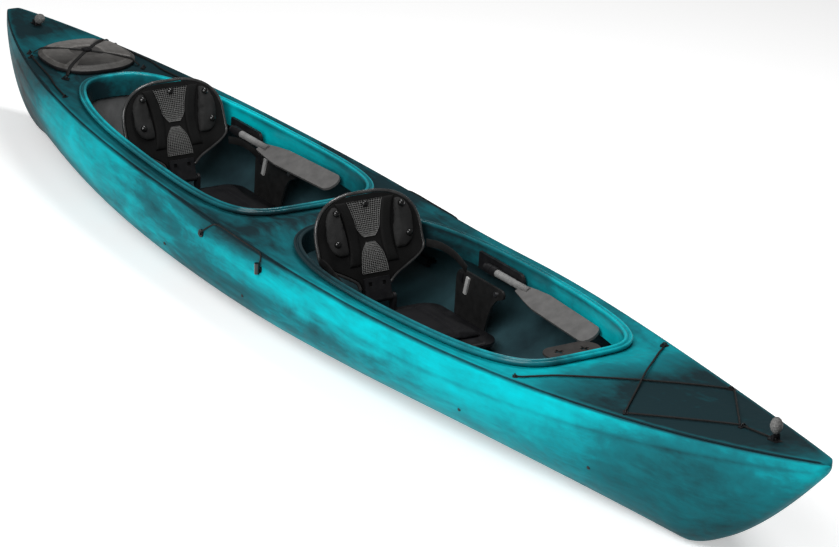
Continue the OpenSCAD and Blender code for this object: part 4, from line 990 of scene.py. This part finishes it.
def make_rigging():
    tip = np.array([EYE_TIP, 0.0])
    past = np.array([PAST_EYE, 0.0])
    lines = [over_deck(eye_at(EYES_X[0], -1), eye_at(EYES_X[1], 1), 70),
             over_deck(eye_at(EYES_X[0], 1), eye_at(EYES_X[1], -1), 70, CROSSING)]
    for side in (-1, 1):
        lines.append(over_deck(eye_at(EYES_X[1], side) + past, tip - past, 40))
    lines.append(over_deck(tip, np.array([BUNGEE_END, 0.0]), 14))
    install(tubes("bow_shock_cord", lines, BUNGEE_R, braid), "boat", "cord", "bow_bungee")
    lines, eyes = [], []
    for side in (-1, 1):
        ends = [np.array([x, side * (float(edge_y(x)) - inset)]) for x, inset in LINE_ENDS]
        lines.append(over_deck(ends[0], ends[1], 40))
        eyes += [(end, side * EYE_TURN) for end in ends]
    install(tubes("stern_side_cords", lines, BUNGEE_R, braid), "boat", "cord", "stern_deck_line")
    make_eyes("stern_cord_eyes", eyes)
    lines = []
    for side in (-1, 1):
        route = []
        for x, t, lift in KEEPER:
            y = lerp(edge_y(x), beam_y(x), t) + lift
            route.append((x, side * y, lerp(edge_z(x), beam_z(x), t)))
        lines.append(curve_through(route, 8))
    install(tubes("paddle_keeper_cords", lines, KEEPER_R, braid), "boat", "cord", "keeper_cords")


# Seat backs, in their own frame: w forward, u to port, v up from the hinge
# Outline: half width at the foot, where it widens and over what height, and how square its top is
FOOT_HALF = 0.050
WIDENS = (0.045, 0.105)
WIDEST = 0.195
TOP_ROUND = 2.6
# Face: how far its sides come forward, and the swell of its small: depth, place, reach
FACE_CURVE = 0.006
SMALL = (0.007, 0.110, 0.060)
# Ribs: both ends, half width, lift, and their curve, closest to the middle at the waist
RIB_V = (0.112, 0.318)
RIB_HALF = 0.020
RIB_LIFT = 0.008
RIB_U = 0.062
RIB_WAIST = 0.190
RIB_SPREAD = 0.022
RIB_REACH = 0.115
# Gap between a patch and the face under it
PATCH_GAP = 0.0007
# Net panels: both ends, lift of their backing, lift and thickness of their yarns
NET_V = {"upper": (0.201, 0.317), "lower": (0.086, 0.184)}
NET_LIFT = 0.0012
YARN_LIFT = 0.0026
YARN_T = 0.0020
# Piping: radius, and its gap to the edge
PIPING_R = 0.0058
PIPING_GAP = 0.0009


def on_back(sx, w, u, v):
    w, u, v = np.broadcast_arrays(w, u, v)
    return np.stack([sx + w * math.cos(RECLINE) - v * math.sin(RECLINE), u,
                     HINGE_Z + w * math.sin(RECLINE) + v * math.cos(RECLINE)], -1)


def back_half(v):
    low = lerp(FOOT_HALF, BACK_HALF, smooth((v - WIDENS[0]) / WIDENS[1]))
    rise = np.clip((v - WIDEST) / (BACK_H - WIDEST), 0, 1)
    return np.where(v < WIDEST, low, BACK_HALF * (1 - rise**TOP_ROUND) ** (1 / TOP_ROUND))


def back_face(u, v):
    return FACE_CURVE * (u / BACK_HALF) ** 2 + SMALL[0] * bell(v, SMALL[1], SMALL[2])


def rib_u(v):
    return RIB_U + RIB_SPREAD * ((v - RIB_WAIST) / RIB_REACH) ** 2


def patch(sx, v, left, right, lift, side=1, cols=25, crown=4):
    """Front and back grids of a raised patch between two edges on the face of a seat back."""
    v = v[:, None]
    t = np.linspace(0, 1, cols)[None]
    u = side * lerp(left[:, None], right[:, None], t)
    a = np.linspace(-1, 1, len(v))[:, None]
    b = 2 * t - 1
    swell = np.sqrt(np.maximum(0, (1 - np.abs(a) ** crown) * (1 - np.abs(b) ** crown)))
    base = back_face(u, v) + PATCH_GAP
    return on_back(sx, base + lift * (0.15 + 0.85 * swell), u, v), on_back(sx, base, u, v)


def make_back(name):
    sx = SEATS[name]
    body = f"{name}_back"
    v = lerp(0.012, BACK_H - 0.001, np.sin(np.linspace(0, math.pi / 2, 44)))[:, None]
    u = np.linspace(-1, 1, 41)[None] * back_half(v)
    face = back_face(u, v)
    sides = on_back(sx, face, u, v), on_back(sx, face - BACK_T, u, v)
    shell = slabs(f"{name}_seat_back", [sides], shell_cloth)
    soften(shell, 0.004, 3, 50)
    install(shell, body, "black_plastic", f"{name}_back_shell")
    rise = np.linspace(*RIB_V, 40)
    u = rib_u(rise)
    pairs = [patch(sx, rise, u - RIB_HALF, u + RIB_HALF, RIB_LIFT, side) for side in (-1, 1)]
    ribs = slabs(f"{name}_seat_ribs", pairs, shell_cloth)
    install(ribs, body, "black_plastic", f"{name}_back_ribs")
    make_net(name, sx, body)
    make_piping(name, sx, body)


def net_edges(part):
    """Heights of a net panel and its half width at each."""
    v = np.linspace(*NET_V[part], 19)
    if part == "upper":
        return v, (rib_u(v) - 0.021) * np.sqrt(np.clip((v - 0.194) / 0.036, 0, 1) ** 0.8)
    return v, lerp(0.050, 0.038, smooth((v - 0.086) / 0.090)) * np.sqrt(smooth((0.200 - v) / 0.060))


def make_net(name, sx, body):
    """Open net panels: a backing and yarns standing over it."""
    backs, yarns = [], []
    for part, cols in (("upper", 15), ("lower", 13)):
        v, half = net_edges(part)
        backs.append(patch(sx, v, -half, half, NET_LIFT, 1, cols, 10))
        u = np.linspace(-1, 1, cols)[None] * half[:, None] * 0.97
        rows = on_back(sx, back_face(u, v[:, None]) + YARN_LIFT, u, v[:, None])
        yarns.append((rows.reshape(-1, 3), grid_faces(len(v), cols)))
    backing = slabs(f"{name}_net_backing", backs, shell_cloth)
    install(backing, body, "mesh", f"{name}_back_mesh")
    net = mesh_piece(f"{name}_net_yarns", *joined(yarns), net_yarn)
    modifier(net, "WIREFRAME", thickness=YARN_T, use_even_offset=False)
    apply_all(net)
    install(net, body, "mesh")


def make_piping(name, sx, body):
    v = lerp(0.030, BACK_H - 0.001, np.sin(np.linspace(0.02, 1, 40) * math.pi / 2))
    half = back_half(v)
    line = np.vstack([np.stack([-half, v], 1), np.stack([half, v], 1)[::-1]])
    line = curve_through(line[::2], 6)
    d = unit(np.gradient(line, axis=0))
    out = line + np.stack([-d[:, 1], d[:, 0]], 1) * (PIPING_R + PIPING_GAP)
    path = on_back(sx, back_face(line[:, 0], line[:, 1]) - BACK_T / 2, out[:, 0], out[:, 1])
    trim = tubes(f"{name}_back_piping", [path], PIPING_R, piping, 14)
    install(trim, body, "piping", f"{name}_back_trim")


# Padded pieces, blown up as cloth in this many steps at this pressure
SWELL_STEPS = 20
SWELL_PRESSURE = 4
# Back pads: both ends, gap to the ribs' curve, least width, and the bulge of their outer edge
PAD_V = (0.148, 0.312)
PAD_GAP = 0.024
PAD_LEAST = 0.014
PAD_MID = 0.230
PAD_REACH = 0.088
PAD_U = 0.080
PAD_BULGE = 0.083
PAD_LIFT = 0.017
# Cushions: place from the hinge, size, gap to the pan, edge, crown, and how far the sides draw in
CUSHION_X = 0.016
CUSHION_LEN = 0.300
CUSHION_HALF = 0.195
CUSHION_GAP = 0.0004
CUSHION_EDGE = 0.005
CUSHION_CROWN = 0.016
DRAWN_IN = 0.05
# Start size of a cushion, because it swells
CUSHION_START = 0.985


def swell(piece, voxel, cap, keep):
    """Remeshes a pad and blows it up as cloth under pressure; keep holds points out of what carries it."""
    modifier(piece, "REMESH", mode="VOXEL", voxel_size=voxel)
    apply_all(piece)
    start = points_of(piece.data)
    cloth = modifier(piece, "CLOTH")
    cloth.settings.use_pressure = True
    cloth.settings.uniform_pressure_force = SWELL_PRESSURE
    cloth.settings.effector_weights.gravity = 0
    cloth.settings.quality = 4
    cloth.point_cache.frame_start = 1
    cloth.point_cache.frame_end = SWELL_STEPS
    for step in range(1, SWELL_STEPS + 1):
        scene.frame_set(step)
    graph = bpy.context.evaluated_depsgraph_get()
    shaped = piece.evaluated_get(graph).to_mesh()
    move = points_of(shaped) - start
    length = np.linalg.norm(move, axis=1)[:, None]
    start = start + move * np.minimum(1, cap / np.maximum(length, 1e-9))
    piece.modifiers.clear()
    scene.frame_set(1)
    set_points(piece.data, keep(start))
    smooth_faces(piece.data)
    modifier(piece, "SMOOTH", factor=0.5, iterations=3)
    modifier(piece, "SUBSURF", levels=1, render_levels=1)
    apply_all(piece)
    return piece


def local_back(sx, p):
    dx = p[:, 0] - sx
    dz = p[:, 2] - HINGE_Z
    w = dx * math.cos(RECLINE) + dz * math.sin(RECLINE)
    return w, p[:, 1], dz * math.cos(RECLINE) - dx * math.sin(RECLINE)


def make_back_pads(name):
    sx = SEATS[name]
    v = np.linspace(*PAD_V, 30)
    inner = rib_u(v) + PAD_GAP
    bulge = PAD_BULGE * (1 - (np.abs(v - PAD_MID) / PAD_REACH) ** 2.5) ** 0.4
    outer = np.maximum(inner + PAD_LEAST, PAD_U + bulge)
    for side, half in ((1, "port"), (-1, "starboard")):
        pad = patch(sx, v, inner, outer, PAD_LIFT, side, 17, 6)
        piece = slabs(f"{name}_{half}_back_pad", [pad], padding)

        def keep(p):
            w, u, up = local_back(sx, p)
            w = np.maximum(w, back_face(u, up) + PATCH_GAP)
            return on_back(sx, w, u, up)

        swell(piece, 0.004, 0.006, keep)
        nodes = [f"{name}_back_pads"] if side > 0 else []
        install(piece, f"{name}_back", "padding", *nodes)


def make_cushion(name):
    sx = SEATS[name]
    base = PAN_TOP + CUSHION_GAP
    t = np.sin(np.linspace(-math.pi / 2, math.pi / 2, 31))
    a, b = np.meshgrid(t, t, indexing="ij")
    crown = np.sqrt(np.maximum(0, (1 - np.abs(a) ** 6) * (1 - np.abs(b) ** 6)))
    along = CUSHION_START * a * (1 - DRAWN_IN * np.cos(b * math.pi / 2))
    x = sx + CUSHION_X + CUSHION_LEN * (along + 1) / 2
    y = CUSHION_START * b * CUSHION_HALF * (1 - DRAWN_IN * np.cos(a * math.pi / 2))
    top = np.stack([x, y, base + CUSHION_EDGE + CUSHION_CROWN * crown], -1)
    low = np.stack([x, y, np.full_like(x, base)], -1)
    piece = slabs(f"{name}_cushion", [(top, low)], cushion_cloth)

    def keep(p):
        p[:, 2] = np.maximum(p[:, 2], base)
        return p

    swell(piece, 0.005, 0.008, keep)
    p = points_of(piece.data)
    high = smooth((p[:, 2] - base - 0.006) / 0.010)
    middle = 0.005 * bell(p[:, 1], 0, 0.016)
    sides = 0.003 * (bell(np.abs(p[:, 1]), 0.105, 0.007) + bell(p[:, 0], sx + 0.06, 0.007))
    p[:, 2] -= high * (middle + sides)
    set_points(piece.data, p)
    install(piece, "boat", "padding", f"{name}_seat_cushion")


# Straps from the seat backs to the buckles: width, then place from the hinge, half breadth, height
STRAP_W = 0.026
STRAP = [(-0.042, 0.202, 0.274), (0.020, 0.215, 0.281), (0.090, 0.225, 0.271), (0.156, 0.225, 0.248)]
REAR_DROP = 0.042


def make_straps(name):
    sx = SEATS[name]
    drop = REAR_DROP if name == "rear" else 0.0
    bands = []
    for side in (-1, 1):
        line = curve_through([(sx + x, side * y, z - drop) for x, y, z in STRAP], 12)
        bands.append(band_mesh(line, np.array([0, 0, side]), STRAP_W))
    straps = ribbed_piece(f"{name}_back_webbing", bands, webbing)
    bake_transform(straps)
    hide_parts(f"{name}_back_straps")


# Where the ridged rail of a knee rest goes into its plate
RAIL_ENDS = {"front": 0.56, "rear": -0.93}
# Length of the rail in front of its clamps
RAIL_SHOWN = 0.135
# Both ends of a buckle's clip, from the hinge
CLIP = (0.10, 0.1415)
# Screws further out than this, or further forward, are black
BLACK_SCREWS = (0.25, 1.0)
# How much lower the upper edge of the stern foam is, so that it stays under the deck
FOAM_DROP = 0.002
# How much fuller the heads of the rivets are
RIVET_SWELL = 0.0036


def second_material(name, material, chosen):
    """Gives another material to those faces of a node whose middle is chosen."""
    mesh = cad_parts[name].data
    mesh.materials.append(material)
    last = len(mesh.materials) - 1
    for face in mesh.polygons:
        if chosen(face.center):
            face.material_index = last


def per_seat(*parts):
    return [f"{name}_{part}" for part in parts for name in SEATS]


def dress(piece, material, width):
    """Gives a piece or a node its material, and rounds its edges by so many millimetres."""
    piece.data.materials.clear()
    piece.data.materials.append(material)
    smooth_faces(piece.data, width > 0)
    if width:
        modifier(piece, "WELD", merge_threshold=1e-5)
        soften(piece, width * MM)
    return piece


def copy_of(node, name):
    return add_object(name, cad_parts[node].data.copy())


def make_stern_foam():
    """Stern foam that replaces its node, cut down evenly from its foot to its upper edge."""
    piece = dress(copy_of("stern_bulkhead", "stern_foam_block"), foam, 0)
    p = points_of(piece.data)
    p[:, 2] -= FOAM_DROP * (p[:, 2] - p[:, 2].min()) / np.ptp(p[:, 2])
    set_points(piece.data, p)
    install(piece, "boat", "foam", "stern_bulkhead")


def make_rivets(name):
    """Rivets that replace their node, with fuller heads."""
    piece = dress(copy_of(f"{name}_back_rivets", f"{name}_rivet_heads"), gloss_black, 1.0)
    modifier(piece, "DISPLACE", strength=RIVET_SWELL, mid_level=0.0, direction="NORMAL")
    install(piece, f"{name}_back", "black_plastic", f"{name}_back_rivets")


def dress_nodes():
    """The CAD nodes that stay, with their materials and the rounding of their edges."""
    kept = [(black, 0.8, ["hatch_buckle", "hatch_pad_eyes", "bow_pad_eyes", "toggle_bases", "bow_toggle_eye",
                          "stern_toggle_eye", "keeper_pad_eyes", *per_seat("back_hinge"), "foot_rails"]),
            (black, 2.0, [*per_seat("seat_pan"), "knee_brackets"]),
            (panel_black, 2.0, per_seat("hip_panels")),
            (gloss_black, 1.0, ["keeper_knobs"]),
            (grey, 1.6, per_seat("port_knee_rest", "starboard_knee_rest")),
            (grey, 1.2, per_seat("port_pedal", "starboard_pedal")),
            (tray_grey, 1.5, ["console_tray"]), (pale, 1.0, ["strap_buckles"]),
            (grip, 0.3, ["bow_toggle", "stern_toggle"]), (rubber, 0.5, ["hatch_gasket"]),
            (steel, 0.3, [*per_seat("hinge_pin"), "screws"]),
            (foam, 0, ["bow_bulkhead"])]
    for material, width, names in kept:
        for name in names:
            dress(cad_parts[name], material, width)
    second_material("screws", black, lambda c: abs(c.y) > BLACK_SCREWS[0] or c.x > BLACK_SCREWS[1])
    for name in SEATS:
        second_material("strap_buckles", black, lambda c: CLIP[0] < c.x - SEATS[name] < CLIP[1])
    for name, x in RAIL_ENDS.items():
        for side in ("port", "starboard"):
            second_material(f"{name}_{side}_knee_rest", rail_grey, lambda c: c.x < x)
            second_material(f"{name}_{side}_knee_rest", black, lambda c: c.x < x - RAIL_SHOWN)


# Stage, lights and camera
CAMERA_AZ = math.radians(55.4586)
CAMERA_EL = math.radians(20.921)
CAMERA_ROLL = math.radians(3.2233)
CAMERA_DIST = 11.5176
CAMERA_LENS = 158.91
CAMERA_AIM = Vector((0.355, 0.0113, 0.2857))
SENSOR = 36
# Lights: place, size and power
LIGHTS = {"key": ((2.5, -4.0, 4.2), (5.0, 2.5), 300), "top": ((-0.5, 1.2, 5.0), (4.5, 1.0), 170),
          "side": ((3.0, -5.5, 1.6), (4.0, 1.5), 90)}
LIGHT_AIM = Vector((0, 0, 0.2))
WORLD_LIGHT = 0.12
# Floor: half size, height, and how bright it is to the camera
FLOOR_HALF = 60
FLOOR_Z = -0.001
FLOOR_GLOW = 0.42


def make_camera():
    data = bpy.data.cameras.new("camera")
    data.lens = CAMERA_LENS
    data.sensor_width = SENSOR
    data.clip_end = 100
    camera = add_object("camera", data)
    back = Vector((math.sin(CAMERA_AZ) * math.cos(CAMERA_EL), -math.cos(CAMERA_AZ) * math.cos(CAMERA_EL),
                   math.sin(CAMERA_EL)))
    right = (-back).cross(Vector((0, 0, 1))).normalized()
    up = right.cross(-back)
    across = math.cos(CAMERA_ROLL) * right + math.sin(CAMERA_ROLL) * up
    upward = -math.sin(CAMERA_ROLL) * right + math.cos(CAMERA_ROLL) * up
    turn = Matrix((across, upward, back)).transposed().to_4x4()
    camera.matrix_world = Matrix.Translation(CAMERA_AIM + CAMERA_DIST * back) @ turn
    scene.camera = camera


def area_light(name, place, size, power):
    data = bpy.data.lights.new(name, "AREA")
    data.shape = "RECTANGLE"
    data.size, data.size_y = size
    data.energy = power
    light = add_object(name, data)
    light.location = place
    light.rotation_euler = (LIGHT_AIM - Vector(place)).to_track_quat("-Z", "Y").to_euler()


def white_stage(tree, shader, share):
    """The floor is white to the camera and to gloss, while the shadow on it stays."""
    path = add(tree, "ShaderNodeLightPath")
    seen = math_node(tree, "MAXIMUM", path.outputs["Is Camera Ray"], path.outputs["Is Glossy Ray"])
    seen = math_node(tree, "MAXIMUM", seen, path.outputs["Is Transmission Ray"])
    tree.links.new(math_node(tree, "MULTIPLY", seen, share), shader.inputs["Emission Strength"])


def make_stage():
    material, tree, shader = start_material("studio_floor")
    shader.inputs["Base Color"].default_value = (0.86, 0.86, 0.86, 1)
    shader.inputs["Roughness"].default_value = 0.9
    shader.inputs["Emission Color"].default_value = (1, 1, 1, 1)
    white_stage(tree, shader, FLOOR_GLOW)
    corners = [(x * FLOOR_HALF, y * FLOOR_HALF, FLOOR_Z) for x, y in ((-1, -1), (1, -1), (1, 1), (-1, 1))]
    floor = mesh_piece("studio_floor", corners, [(0, 1, 2, 3)], material)
    world = bpy.data.worlds.new("studio")
    world.use_nodes = True
    background = world.node_tree.nodes["Background"]
    background.inputs["Color"].default_value = (1, 1, 1, 1)
    background.inputs["Strength"].default_value = WORLD_LIGHT
    scene.world = world
    for name, light in LIGHTS.items():
        area_light(name, *light)
    scene.view_settings.view_transform = "Standard"


make_camera()
make_rigging()
make_hull()
make_deck()
make_coamings()
make_hatch()
for seat in SEATS:
    make_back(seat)
    make_back_pads(seat)
    make_cushion(seat)
    make_straps(seat)
    make_rivets(seat)
make_stern_foam()
dress_nodes()
make_stage()
